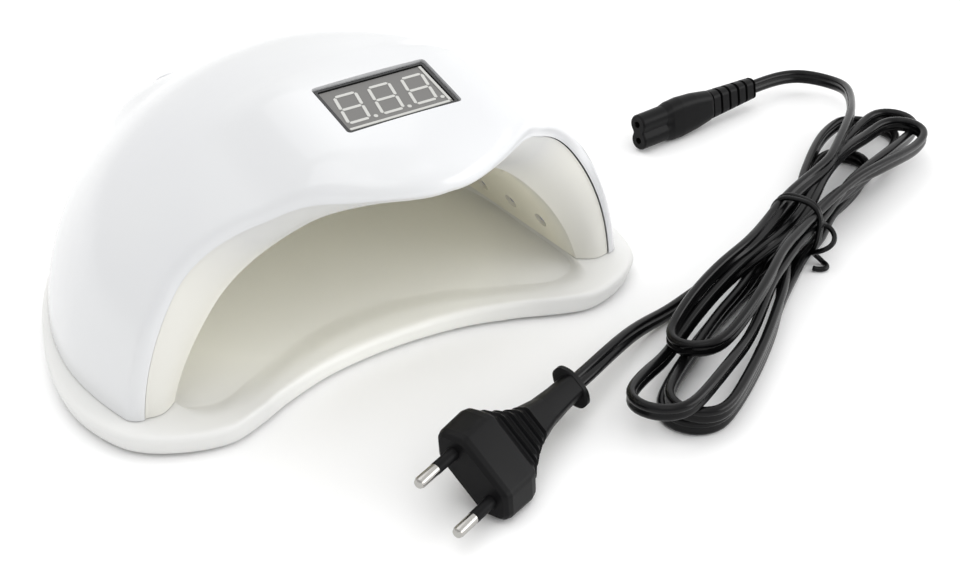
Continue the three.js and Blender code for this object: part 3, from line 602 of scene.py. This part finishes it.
def plug_shape():
    """The plug's moulding, along +X from its face."""
    length = PLUG["body"] + PLUG["neck"]
    wide, thick = PLUG["half_width"], PLUG["half_thickness"]
    table = [(0, wide - 2.2, thick - 1.6, 0.66), (1.2, wide - 1, thick - 0.5, 0.66),
             (3, wide - 0.4, thick, 0.66), (14, wide, thick, 0.66), (16.5, wide - 0.6, thick, 0.66),
             (22, wide - 4.6, thick - 0.2, 0.64), (28, wide - 8.2, thick - 0.7, 0.68),
             (34, wide - 10.4, thick - 1.3, 0.7), (42, wide - 11.9, thick - 2, 0.72),
             (52, wide - 12.6, thick - 2.5, 0.72), (length, wide - 12.9, thick - 2.7, 0.72)]
    sections = []
    for i in range(int(length / SECTION_STEP) + 1):
        x = i * SECTION_STEP
        half_y, half_z, flat = blend_at(x, table)
        if RIBS_FROM < x < RIBS_TO:
            step = ((x - RIBS_FROM) % RIB_PITCH) / RIB_PITCH
            dip = min(1, step * 1.6) * (1 if step < 0.86 else (1 - step) / 0.14)
            half_z, half_y = half_z - 1.2 * dip, half_y - 0.3 * dip
        sections.append((x, bar(half_y, half_z, flat)))
    return loft(sections)


def collar_shape():
    """The thin stop at the end of the plug's neck, with a round lobe on each side."""
    corners = [(8, -1.8), (8, 1.8), (4.2, 4.4), (-4.2, 4.4), (-8, 1.8), (-8, -1.8), (-4.2, -4.4), (4.2, -4.4)]
    outline = round_corners(corners, 2.4)
    shrink = lambda k: [(y * k, z * k) for y, z in outline]
    return loft([(0, shrink(0.9)), (0.4, shrink(1)), (2.2, shrink(1)), (2.6, shrink(0.92))])


def connector_shape():
    """The figure-8 connector's moulding, along +X from its face."""
    table = [(0, 7.3, 3.7, 1), (0.7, 7.8, 4.1, 1), (14.5, 7.8, 4.1, 1), (15.5, 8.1, 4.2, 0.7),
             (18, 8.7, 4.4, 0), (24, 9.0, 4.5, 0), (33, 8.3, 4.4, 0), (41.5, 6.9, 4.2, 0),
             (42.6, 6.6, 4.0, 0), (43, 6.2, 3.7, 0)]
    sections = []
    for i in range(int(CONNECTOR["body"] / SECTION_STEP) + 1):
        x = i * SECTION_STEP
        half_y, half_z, valley = blend_at(x, table)
        offset = half_y - half_z
        outline = []
        for side in (1, -1):
            for k in range(17):
                angle = -math.pi / 2 + math.pi * k / 16
                outline.append((side * (offset + half_z * math.cos(angle)), side * half_z * math.sin(angle)))
            for k in range(1, 8):
                y = side * offset * (1 - k / 4)
                dip = valley * 1.15 * math.exp(-((y / 1.7) ** 2))
                outline.append((y, side * (half_z - dip)))
        sections.append((x, outline))
    return loft(sections)


def relief_shape():
    """The connector's strain relief: blocks on a tapering core."""
    length, blocks = CONNECTOR["relief"], 5
    pitch = length / blocks
    sections = []
    steps = 30
    for i in range(blocks * steps + 1):
        x = length * i / (blocks * steps)
        t = x / length
        within = (x % pitch) / pitch
        half_y, half_z = 6.3 - 1.5 * t, 4.1 - 0.7 * t
        if within > 0.74 and i < blocks * steps:
            half_y, half_z = half_y - 1.3, half_z - 1.0
        sections.append((x, bar(half_y, half_z, 0.7, 0.45)))
    return loft(sections)


def tie_line(line):
    """The wire tie's route: twice round the bundle, and away into the loops of its ends."""
    axis = Vector((math.cos(HANK_HEADING), math.sin(HANK_HEADING), 0))
    across = Vector((-axis.y, axis.x, 0))
    offset = line[:, :2] - TIE
    along, sideways = offset @ np.array(axis[:2]), offset @ np.array(across[:2])
    held = (np.abs(along) < TIE_RUN) & (np.abs(sideways) < 14)
    top = line[held, 2].max() + 3.4
    left, right = sideways[held].max() + 3.6, sideways[held].min() - 3.6
    middle, half = (left + right) / 2, (left - right) / 2
    lowest = 1.1
    route = []
    for i in range(150):
        angle = math.radians(215 - i * 5.2)
        c, s = math.cos(angle), math.sin(angle)
        flat = (abs(c) ** 3 + abs(s) ** 3) ** (-1 / 3)
        slide = 2.6 * math.sin(angle * 0.9) - 2.5 + i * 0.035
        height = lowest + (top - lowest) * (0.5 + 0.5 * s * flat)
        route.append(Vector((*TIE, height)) + across * (middle + c * flat * half) + axis * slide)
    end = route[-1]
    for i in range(1, 60):
        angle = math.radians(i * 11)
        out = -across * (1 - math.cos(angle)) * 3.2 + axis * math.sin(angle) * (3.4 - i * 0.03)
        route.append(end + out - axis * i * 0.14 + Vector((0, 0, 1)) * max(1.2 - end.z, -i * 0.35))
    return [tuple(p) for p in route]


def wire(points, radius, sides=12):
    """Rings of a round wire along points in space."""
    line = np.array(points, float)
    tangent = np.gradient(line, axis=0)
    tangent /= np.linalg.norm(tangent, axis=1)[:, None]
    side = np.cross(tangent[0], (0.3, 0.2, 0.9))
    rings = []
    for p, t in zip(line, tangent):
        side = side - t * side.dot(t)
        side /= np.linalg.norm(side)
        up = np.cross(t, side)
        rings.append([tuple(p + radius * (side * math.cos(TAU * k / sides) + up * math.sin(TAU * k / sides)))
                      for k in range(sides)])
    return tube(rings)


def make_lead():
    line, roll = lead_route()
    skin = tube(sweep(line, flex_section(), roll))
    flex = new_mesh("lead_flex", *skin, BLACK_FLEX, "tray", "flex_black", 50)
    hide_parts("lead_cord_connector_side", "lead_hank", "lead_cord_plug_side")

    connector_at = lie(CONNECTOR, "tip")
    shape = placed(connector_shape(), connector_at)
    connector = new_mesh("lead_connector_moulding", *shape, BLACK_MOULDED, "tray", "black_plastic", 32)
    along_x = Matrix.Rotation(TAU / 4, 4, "Y")
    socket = turned([(0, -1), (1.5, -1), (1.5, 12), (0, 12)], 24)
    places = [connector_at @ Matrix.Translation((0, side * SOCKET_SIDE, 0)) @ along_x for side in (1, -1)]
    cut(connector, [cutter(*placed(socket, place)) for place in places], 32)
    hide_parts("lead_connector")
    relief_at = connector_at @ Matrix.Translation((CONNECTOR["body"] + 0.1, 0, 0))
    shape = placed(relief_shape(), relief_at)
    relief = new_mesh("lead_connector_relief", *shape, BLACK_MOULDED, "tray", "black_plastic", 30)
    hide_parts("lead_relief")

    plug_at = lie(PLUG, "face")
    shape = placed(plug_shape(), plug_at)
    plug = new_mesh("plug_moulding", *shape, BLACK_MOULDED, "tray", "black_plastic", 30)
    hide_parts("plug_body")
    collar_at = plug_at @ Matrix.Translation((PLUG["body"] + PLUG["neck"] - 2.6, 0, 0))
    shape = placed(collar_shape(), collar_at)
    collar = new_mesh("plug_collar", *shape, BLACK_MOULDED, "tray", "black_plastic", 30)
    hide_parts("plug_relief")
    back_x = Matrix.Rotation(-TAU / 4, 4, "Y")
    for name, side in (("right", 1), ("left", -1)):
        at = plug_at @ Matrix.Translation((0, side * PIN_SIDE, 0)) @ back_x
        sleeve = turned([(0, -2), (2.3, -2), (2.3, 0.6), (2.0, 1.2), (2.0, 9.8), (1.85, 10), (0, 10)])
        tip = turned([(0, 9.5), (1.95, 9.5), (1.95, 17.6), (1.6, 18.6), (0.9, 19), (0, 19.1)])
        shape = placed(sleeve, at)
        new_mesh(f"pin_sleeve_{name}", *shape, BLACK_MOULDED, "tray", "black_plastic", 40)
        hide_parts(f"plug_sleeve_{name}")
        new_mesh(f"pin_tip_{name}", *placed(tip, at), NICKEL, "tray", "pin_nickel", 40)
        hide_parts(f"plug_pin_{name}")
    tie = new_mesh("wire_tie", *wire(tie_line(line), 1.0), BLACK_FLEX, "tray", "black_plastic", 60)
    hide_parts("lead_tie")


make_lead()


# ---- The dome, the hand opening and the crown's flat places, as sections across X ----
DOME = {"height": 104.6, "crown_y": -34, "half_width": 104.4, "widest_y": -32.5, "rear_y": 99,
        "side_power": 1.58, "plan_power": 1.76, "forward_fall": 0.0037, "forward_narrowing": 0.0038,
        "arch_x": 1.06, "arch_z": 0.97}
EDGE = {"foot_y": -68.5, "visor_reach": 37, "reach_from": 32, "reach_to": 88, "roll": 4}
TUNNEL = {"half_width": 84, "height": 78.5, "front_y": -87.5, "straight_to_y": 2.5, "rear_y": 67.5,
          "height_power": 2.2, "arch_power": 1.21, "crease_foot_y": -64.5, "crease_reach": 25}
WALL, LINER_WALL = 2.4, 2.0
LINER_EDGE, LINER_LAND = 4.55, 0.8
BODY_BOTTOM = 9.35
DISPLAY = {"y": -68.5, "width": 42.4, "length": 23.8}
BUTTONS = {"y": 57, "spacing": 14, "count": 4, "radius": 4.8, "proud": 1.3, "plate_bottom": -3.4}
LED_ROWS = (-46.5, -27, -7.5)
LED_ANGLES = (18, 42, 66, 90, 114, 138, 162)
SENSOR_Y = -70
INLET = {"z": 22.5, "width": 24.4, "height": 16.4, "face_y": 99.8, "hood_width": 33, "hood_top": 35.6}


def falloff(t, power):
    return np.maximum(0, 1 - np.clip(t, 0, 1) ** power) ** (1 / power)


def dome_arch(y, inset):
    rear = DOME["rear_y"] - inset
    height = DOME["height"] * falloff((y - DOME["crown_y"]) / (rear - DOME["crown_y"]), DOME["side_power"])
    back = (y - DOME["widest_y"]) / (rear - DOME["widest_y"])
    width = DOME["half_width"] * falloff(back, DOME["plan_power"])
    fall = DOME["forward_fall"] * np.maximum(0, DOME["crown_y"] - y) ** 2
    narrowing = DOME["forward_narrowing"] * np.maximum(0, DOME["widest_y"] - y) ** 2
    return np.maximum(0, width - narrowing - inset), np.maximum(0, height - fall - inset)


def arch(y, angle, width, height, power_x, power_z):
    c, s = np.cos(angle), np.maximum(0, np.sin(angle))
    return np.stack([width * np.sign(c) * np.abs(c) ** power_x, y + 0 * c, height * s**power_z], -1)


def crown_frame(y):
    """A frame in millimetres on the crown line: Z outwards, Y up the slope."""
    before, here, after = (float(dome_arch(np.array(v), 0)[1]) for v in (y - 1.0, float(y), y + 1.0))
    return Matrix.Translation((0, y, here)) @ Matrix.Rotation(math.atan2(after - before, 2), 4, "X")


DISPLAY_FRAME = crown_frame(DISPLAY["y"])
BUTTON_FRAME = crown_frame(BUTTONS["y"])
# Where the crown is flattened: frame, share of the fall, half sizes in full, and those where it fades out.
FLATS = [(DISPLAY_FRAME, 0.85, (24, 14), (54, 32)), (BUTTON_FRAME, 0.6, (30, 8), (62, 36))]


def dome(y, angle, inset=0.0):
    p = arch(y, angle, *dome_arch(y, inset), DOME["arch_x"], DOME["arch_z"])
    for frame_at, amount, full, fade in FLATS:
        turn = np.array(frame_at.to_3x3())
        local = (p - np.array(frame_at.translation)) @ turn
        masks = [1 - ease(np.abs(local[..., i]), full[i], fade[i]) for i in (0, 1)]
        lift = -(local[..., 2] + inset) * amount * masks[0] * masks[1]
        p = p + lift[..., None] * turn[:, 2]
    return p


def from_foot(angle):
    return np.degrees(np.minimum(angle, math.pi - angle))


def edge_y(angle):
    return EDGE["foot_y"] - EDGE["visor_reach"] * ease(from_foot(angle), EDGE["reach_from"], EDGE["reach_to"])


def crease_y(angle):
    return TUNNEL["crease_foot_y"] - TUNNEL["crease_reach"] * ease(from_foot(angle), 36, 90)


def tunnel_height(y, rear):
    back = (y - TUNNEL["front_y"]) / (rear - TUNNEL["front_y"])
    return TUNNEL["height"] * falloff(back, TUNNEL["height_power"])


def tunnel(y, angle, outward=0.0):
    rear = TUNNEL["rear_y"] + outward
    height = tunnel_height(y, rear)
    back = (y - TUNNEL["straight_to_y"]) / (rear - TUNNEL["straight_to_y"])
    width = TUNNEL["half_width"] * falloff(back, 2)
    return arch(y, angle, width + outward, height + outward, TUNNEL["arch_power"], TUNNEL["arch_power"])


def band(angle, t, inset, outward, back=0.0):
    """The flared band round the opening: t runs from the shell's edge to the tunnel's front crease."""
    outer = dome(edge_y(angle) + 0.5, angle, inset)
    inner = tunnel(crease_y(angle), angle, outward)
    p = outer + (inner - outer) * t
    p[..., 1] += back - 2.2 * math.sin(math.pi * t)
    return p


def row(point_at, columns):
    """One row of a skin: from the right foot over to the left, starting where it meets the body's bottom."""
    low, high = 0.0, math.pi / 2
    for _ in range(34):
        middle = (low + high) / 2
        if point_at(np.array(middle))[2] < BODY_BOTTOM:
            low = middle
        else:
            high = middle
    points = point_at(np.linspace(high, math.pi - high, columns))
    points[0, 2] = points[-1, 2] = BODY_BOTTOM
    return points


def arched(rows):
    """A closed skin with a flat bottom, from rows that run from the rear round the front edge and back."""
    count = len(rows[0])
    points = np.vstack(rows)
    faces = grid_faces(len(rows), count)
    faces.append(tuple(r * count for r in range(len(rows))))
    faces.append(tuple(r * count + count - 1 for r in reversed(range(len(rows)))))
    return [tuple(p) for p in points], faces


def rear_limit(section_height):
    """The y where a section gets so low that it meets the body's bottom."""
    low, high = 0.0, 99.0
    for _ in range(40):
        middle = (low + high) / 2
        low, high = (middle, high) if section_height(np.array(middle)) > BODY_BOTTOM else (low, middle)
    return low - 1e-4


def shares(count):
    """Shares of the way forward from the rear, closer together at the rear."""
    return 1 - np.sin(TAU / 4 * (1 - np.arange(count) / count)) ** 1.25


SHELL_ROWS, SHELL_COLUMNS = 76, 141


def shell_skin():
    roll = EDGE["roll"]
    rows = []

    def run(inset, forward):
        rear = rear_limit(lambda y: dome_arch(y, inset)[1])
        return [row(lambda a, s=s: dome(rear + (edge_y(a) + forward - rear) * s, a, inset), SHELL_COLUMNS)
                for s in shares(SHELL_ROWS)]

    rows += run(0, roll)
    for degrees in range(0, 91, 10):
        turn = math.radians(degrees)
        depth, ahead = roll * (1 - math.cos(turn)), roll * (1 - math.sin(turn))
        rows.append(row(lambda a, d=depth, f=ahead: dome(edge_y(a) + f, a, d), SHELL_COLUMNS))
    inner = roll - WALL
    for degrees in range(90, -1, -22):
        turn = math.radians(degrees)
        depth, ahead = WALL + inner * (1 - math.cos(turn)), roll - inner * math.sin(turn)
        rows.append(row(lambda a, d=depth, f=ahead: dome(edge_y(a) + f, a, d), SHELL_COLUMNS))
    rows += reversed(run(WALL, roll + 0.6))
    return arched(rows)


def liner_skin():
    columns = 141

    def run(outward):
        limit = TUNNEL["rear_y"] + outward
        rear = rear_limit(lambda y: tunnel_height(y, limit) + outward)
        rear = min(rear, limit - 0.02)
        return [row(lambda a, s=s: tunnel(rear + (crease_y(a) - rear) * s, a, outward), columns)
                for s in [*shares(56), 1]]

    rows = run(0)
    front = LINER_EDGE + LINER_LAND
    for t in np.linspace(0.96, 0, 24):
        rows.append(row(lambda a, t=t: band(a, float(t), front, 0), columns))
    rows.append(row(lambda a: dome(edge_y(a) + 0.5, a, LINER_EDGE), columns))
    for t in np.linspace(0, 0.96, 12):
        rows.append(row(lambda a, t=t: band(a, float(t), LINER_EDGE, LINER_WALL, LINER_WALL), columns))
    rows += reversed(run(LINER_WALL))
    return arched(rows)


def tunnel_frame(y, angle):
    """A frame on the liner's inner wall: Z away from the hand."""
    a, b = (Vector(tunnel(np.array(float(y)), np.array(angle + d))) for d in (-0.02, 0.02))
    out = Vector((b.z - a.z, 0, a.x - b.x)).normalized()
    place = Vector(tunnel(np.array(float(y)), np.array(angle)))
    return Matrix.Translation(place) @ Vector((0, 0, 1)).rotation_difference(out).to_matrix().to_4x4()


def button_place(i):
    return BUTTON_FRAME @ Matrix.Translation(((i - (BUTTONS["count"] - 1) / 2) * BUTTONS["spacing"], 0, 0))


def disc(radius, low, high, sides=32):
    return turned([(0, low), (radius, low), (radius, high), (0, high)], sides)


def make_housing():
    window = prism(round_rect(DISPLAY["width"] + 0.7, DISPLAY["length"] + 0.7, 1.4), [(-9, 0), (4, 0)])
    holes = [placed(window, DISPLAY_FRAME)]
    button_hole = disc(BUTTONS["radius"] + 0.35, -9, 5, 48)
    holes += [placed(button_hole, button_place(i)) for i in range(BUTTONS["count"])]
    shell = new_mesh("shell", *shell_skin(), WHITE_GLOSS, "housing", "shell_white")
    cut(shell, [cutter(*merged(*holes))], 38)
    outline = round_rect(INLET["hood_width"], 2 * INLET["hood_top"], 3.5)
    hood = prism(outline, [(-28, 0), (-1.6, 0), (-0.5, -0.5), (0, -1.6)])
    rearward = Matrix.Translation((0, INLET["face_y"] - 0.4, 0)) @ Matrix.Rotation(-TAU / 4, 4, "X")
    hood = new_mesh("inlet_hood", *placed(hood, rearward), WHITE_GLOSS, "housing", "shell_white", 38)
    below = prism(round_rect(200, 200, 1), [(-80, 0), (BODY_BOTTOM, 0)])
    opening = prism(round_rect(INLET["width"] + 0.7, INLET["height"] + 0.7, 1), [(-60, 0), (4, 0)])
    opening = placed(opening, rearward @ Matrix.Translation((0, -INLET["z"], 0)))
    cut(hood, [cutter(*below), cutter(*opening)], 38)
    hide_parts("outer_shell")

    liner = new_mesh("liner", *liner_skin(), LINER_PAINTED_LIGHT, "housing", "liner_cream")
    led_hole = disc(3.1, -5, 7, 28)
    holes = [placed(led_hole, tunnel_frame(y, math.radians(a))) for y in LED_ROWS for a in LED_ANGLES]
    holes.append(placed(disc(4.2, 60, 90), Matrix.Translation((0, SENSOR_Y, 0))))
    cut(liner, [cutter(*merged(*holes))], 34)
    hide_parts("inner_liner")


def make_emitters():
    """Each arc of emitters: a bent strip with a domed lens behind every hole of the liner."""
    lens = turned([(0, 0.5), (0.9, 0.6), (1.7, 1.0), (2.3, 1.6), (2.6, 2.4), (2.6, 3.4), (0, 3.4)], 28)
    for name, y in zip(("front", "middle", "rear"), LED_ROWS):
        rings = []
        for degrees in range(15, 166, 3):
            a = np.array(math.radians(degrees))
            corners = ((-6, 2.6), (-6, 3.8), (6, 3.8), (6, 2.6))
            rings.append([tuple(tunnel(np.array(y + dy), a, out)) for dy, out in corners])
        strip = new_mesh(f"emitter_board_{name}", *tube(rings), BOARD, "housing", "emitter_lens", 40)
        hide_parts(f"led_board_{name}")
        lenses = merged(*(placed(lens, tunnel_frame(y, math.radians(a))) for a in LED_ANGLES))
        new_mesh(f"emitters_{name}", *lenses, EMITTER, "housing", "emitter_lens", 50)


# ---- Display: a black bezel, a grey face, and three unlit digits ----
FACE = {"width": 39.2, "length": 20.8, "top": -1.7}
DIGIT = {"width": 7.8, "height": 13.4, "pitch": 12.7, "stroke": 1.1, "slant": 0.17, "first": -13.6}


def stroke_shape(a, b, half, low, high):
    """A straight segment between two points, with pointed ends."""
    a, b = Vector(a), Vector(b)
    d = (b - a).normalized()
    n = Vector((-d.y, d.x)) * half
    e = d * half * 0.8
    outline = [a, a + e - n, b - e - n, b, b - e + n, a + e + n]
    return prism([tuple(p) for p in outline], [(low, 0), (high, 0)])


def digit_shape(x0):
    """The seven segments and the decimal point of one digit, leaning to the right."""
    w, h = DIGIT["width"] / 2, DIGIT["height"] / 2
    gap, half = 0.3, DIGIT["stroke"] / 2
    place = lambda x, y: (x0 + x + DIGIT["slant"] * y, y)
    shapes = []
    for level in (-h, 0, h):
        shapes.append(stroke_shape(place(-w + gap, level), place(w - gap, level), half, 0, 0.12))
    for x in (-w, w):
        for low, high in ((-h, 0), (0, h)):
            shapes.append(stroke_shape(place(x, low + gap), place(x, high - gap), half, 0, 0.12))
    x, y = place(w + 2.2, -h)
    point = turned([(0, 0), (0.75, 0), (0.75, 0.12), (0, 0.12)], 20)
    shapes.append(placed(point, Matrix.Translation((x, y, 0))))
    return merged(*shapes)


def make_display():
    outline = round_rect(DISPLAY["width"] - 0.2, DISPLAY["length"] - 0.2, 1.1)
    bezel = prism(outline, [(-3.2, 0), (-1.5, 0), (-1.2, -0.3)])
    bezel = new_mesh("bezel", *placed(bezel, DISPLAY_FRAME), BLACK_GLOSS, "housing", "black_plastic", 30)
    hole = prism(round_rect(FACE["width"] + 0.4, FACE["length"] + 0.4, 0.6), [(-6, 0), (0, 0)])
    cut(bezel, [cutter(*placed(hole, DISPLAY_FRAME))], 30)
    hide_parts("display_bezel")
    top = FACE["top"]
    outline = round_rect(FACE["width"], FACE["length"], 0.4)
    body = prism(outline, [(top - 1.8, 0), (top - 0.1, 0), (top, -0.1)])
    face = new_mesh("digit_face", *placed(body, DISPLAY_FRAME), DIGIT_FACE, "housing", "display_grey", 30)
    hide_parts("display_module")
    upon = DISPLAY_FRAME @ Matrix.Translation((0, 0, top - 0.02))
    digits = merged(*(digit_shape(DIGIT["first"] + i * DIGIT["pitch"] + 0.6) for i in range(3)))
    new_mesh("digits", *placed(digits, upon), SEGMENT, "housing", "display_grey", 30)
    right = prism(round_rect(1.0, FACE["length"] - 0.6, 0.2), [(0, 0), (0.25, 0)])
    lower = prism(round_rect(FACE["width"] - 0.6, 1.0, 0.2), [(0, 0), (0.25, 0)])
    strips = merged(placed(right, Matrix.Translation((FACE["width"] / 2 - 0.8, 0, 0))),
                    placed(lower, Matrix.Translation((0, 0.8 - FACE["length"] / 2, 0))))
    new_mesh("face_rim", *placed(strips, upon), SEGMENT, "housing", "display_grey", 30)


# ---- Buttons ----
def make_buttons():
    r, proud, flange = BUTTONS["radius"], BUTTONS["proud"], BUTTONS["plate_bottom"] - 0.35
    profile = [(0, flange - 1.2), (r + 1.2, flange - 1.2), (r + 1.2, flange), (r, flange), (r, proud - 0.9)]
    for degrees in (15, 30, 45, 60, 75, 90):
        turn = math.radians(degrees)
        profile.append((r - 0.8 + 0.8 * math.cos(turn), proud - 0.8 + 0.8 * math.sin(turn)))
    profile += [(r * 0.4, proud - 0.12), (0, proud - 0.2)]
    for i in range(BUTTONS["count"]):
        cap = new_mesh(f"button_cap_{i + 1}", *placed(turned(profile, 56), button_place(i)), WHITE_GLOSS,
                       f"button_{i + 1}", "shell_white", 40)
        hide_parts(f"timer_button_{i + 1}")


# ---- Tray ----
TRAY_OUTLINE = [(0, -69.6), (26, -71.6), (47, -77.6), (62, -84), (75, -87.4), (91, -82.6), (104, -72),
                (110.3, -54), (111, -36), (107.4, -17), (101.6, 1), (93.6, 21), (81, 43.5), (64.5, 66),
                (46, 84.5), (23, 100.5), (0, 105.9)]
FLOOR_OUTLINE = [(0, -44), (26, -49), (50, -60), (66, -68), (78, -66), (83, -56), (83.6, -32), (83.2, 2),
                 (73.8, 34), (47, 57.5), (21, 67), (0, 69)]
TRAY_CENTRE = np.array([0.0, -8.0])


def radii(half, angles):
    """How far a smooth closed outline is from the tray's centre, in each direction."""
    outline = np.array(half + [(-x, y) for x, y in reversed(half[1:-1])], float)
    wrapped = np.vstack([outline[-2:], outline, outline[:3]])
    line = catmull(wrapped, 0.5)
    start = np.argmin(np.linalg.norm(line[:200] - outline[0], axis=1))
    offset = line[start:] - TRAY_CENTRE
    theirs = np.unwrap(np.arctan2(offset[:, 1], offset[:, 0]))
    order = np.argsort(theirs % TAU)
    bearing, reach = (theirs % TAU)[order], np.linalg.norm(offset, axis=1)[order]
    return np.interp(angles % TAU, bearing, reach, period=TAU)


def make_tray():
    sides = 360
    angles = np.arange(sides) * TAU / sides
    edge, floor = radii(TRAY_OUTLINE, angles), radii(FLOOR_OUTLINE, angles)
    ahead = np.abs((angles - 1.5 * math.pi + math.pi) % TAU - math.pi)
    front = 1 - ease(np.degrees(ahead), 46, 58)
    brow = (floor + 0.5) * (1 - front) + (edge - 8.5) * front
    profile = [(-4.5, 1.5), (-2.6, 1.5), (-2, 1.65), (-1.6, 2.1), (-0.9, 4), (-0.2, 6.4), (0, 7.1),
               (-0.25, 7.9), (-0.8, 8.5), (-1.7, 8.9), (-3.2, 9.0)]
    levels = [(edge + grow, np.full(sides, z)) for grow, z in profile]
    levels += [(edge - 3.2 + (brow + 0.4 - edge + 3.2) * t, np.full(sides, 9.0)) for t in (0.33, 0.66, 1)]
    for t in np.linspace(0.08, 1, 14):
        slope = float(t * t * (3 - 2 * t))
        levels.append((brow + (floor - brow) * float(t), np.full(sides, 9.0 - 2.5 * slope)))
    for t in np.linspace(0.95, 0.02, 16):
        levels.append((floor * float(t), np.full(sides, 6.5 - 0.35 * float(1 - t * t))))
    direction = np.stack([np.cos(angles), np.sin(angles)], -1)
    rings = []
    for reach, z in levels:
        flat = TRAY_CENTRE + direction * reach[:, None]
        rings.append([(x, y, h) for (x, y), h in zip(flat, z)])
    tray = new_mesh("tray", *tube(rings), TRAY_PAINTED_LIGHT, "tray", "tray_white", 50)
    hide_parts("base_tray")


# ---- CAD pieces that keep their shape ----
CAD_LOOKS = [("housing_screw_", STEEL), ("housing_magnet_", STEEL), ("tray_steel_disc_", STEEL),
             ("foot_", RUBBER), ("mains_inlet", BLACK_MOULDED), ("inlet_pin_", BRASS),
             ("heat_sink", ALUMINIUM), ("transformer", TAPE), ("control_board", BOARD),
             ("button_board", BOARD), ("power_board", BOARD), ("microcontroller", BLACK_MOULDED),
             ("switch_", BLACK_MOULDED), ("hand_sensor", BLACK_GLOSS), ("mains_capacitor", BLACK_FLEX),
             ("output_capacitor", BLACK_FLEX), ("mains_fuse", DIGIT_FACE)]


def dress_cad():
    for name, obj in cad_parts.items():
        for start, look in CAD_LOOKS:
            if name.startswith(start):
                for place in obj.material_slots:
                    place.material = look


make_housing()
make_emitters()
make_display()
make_buttons()
make_tray()
dress_cad()
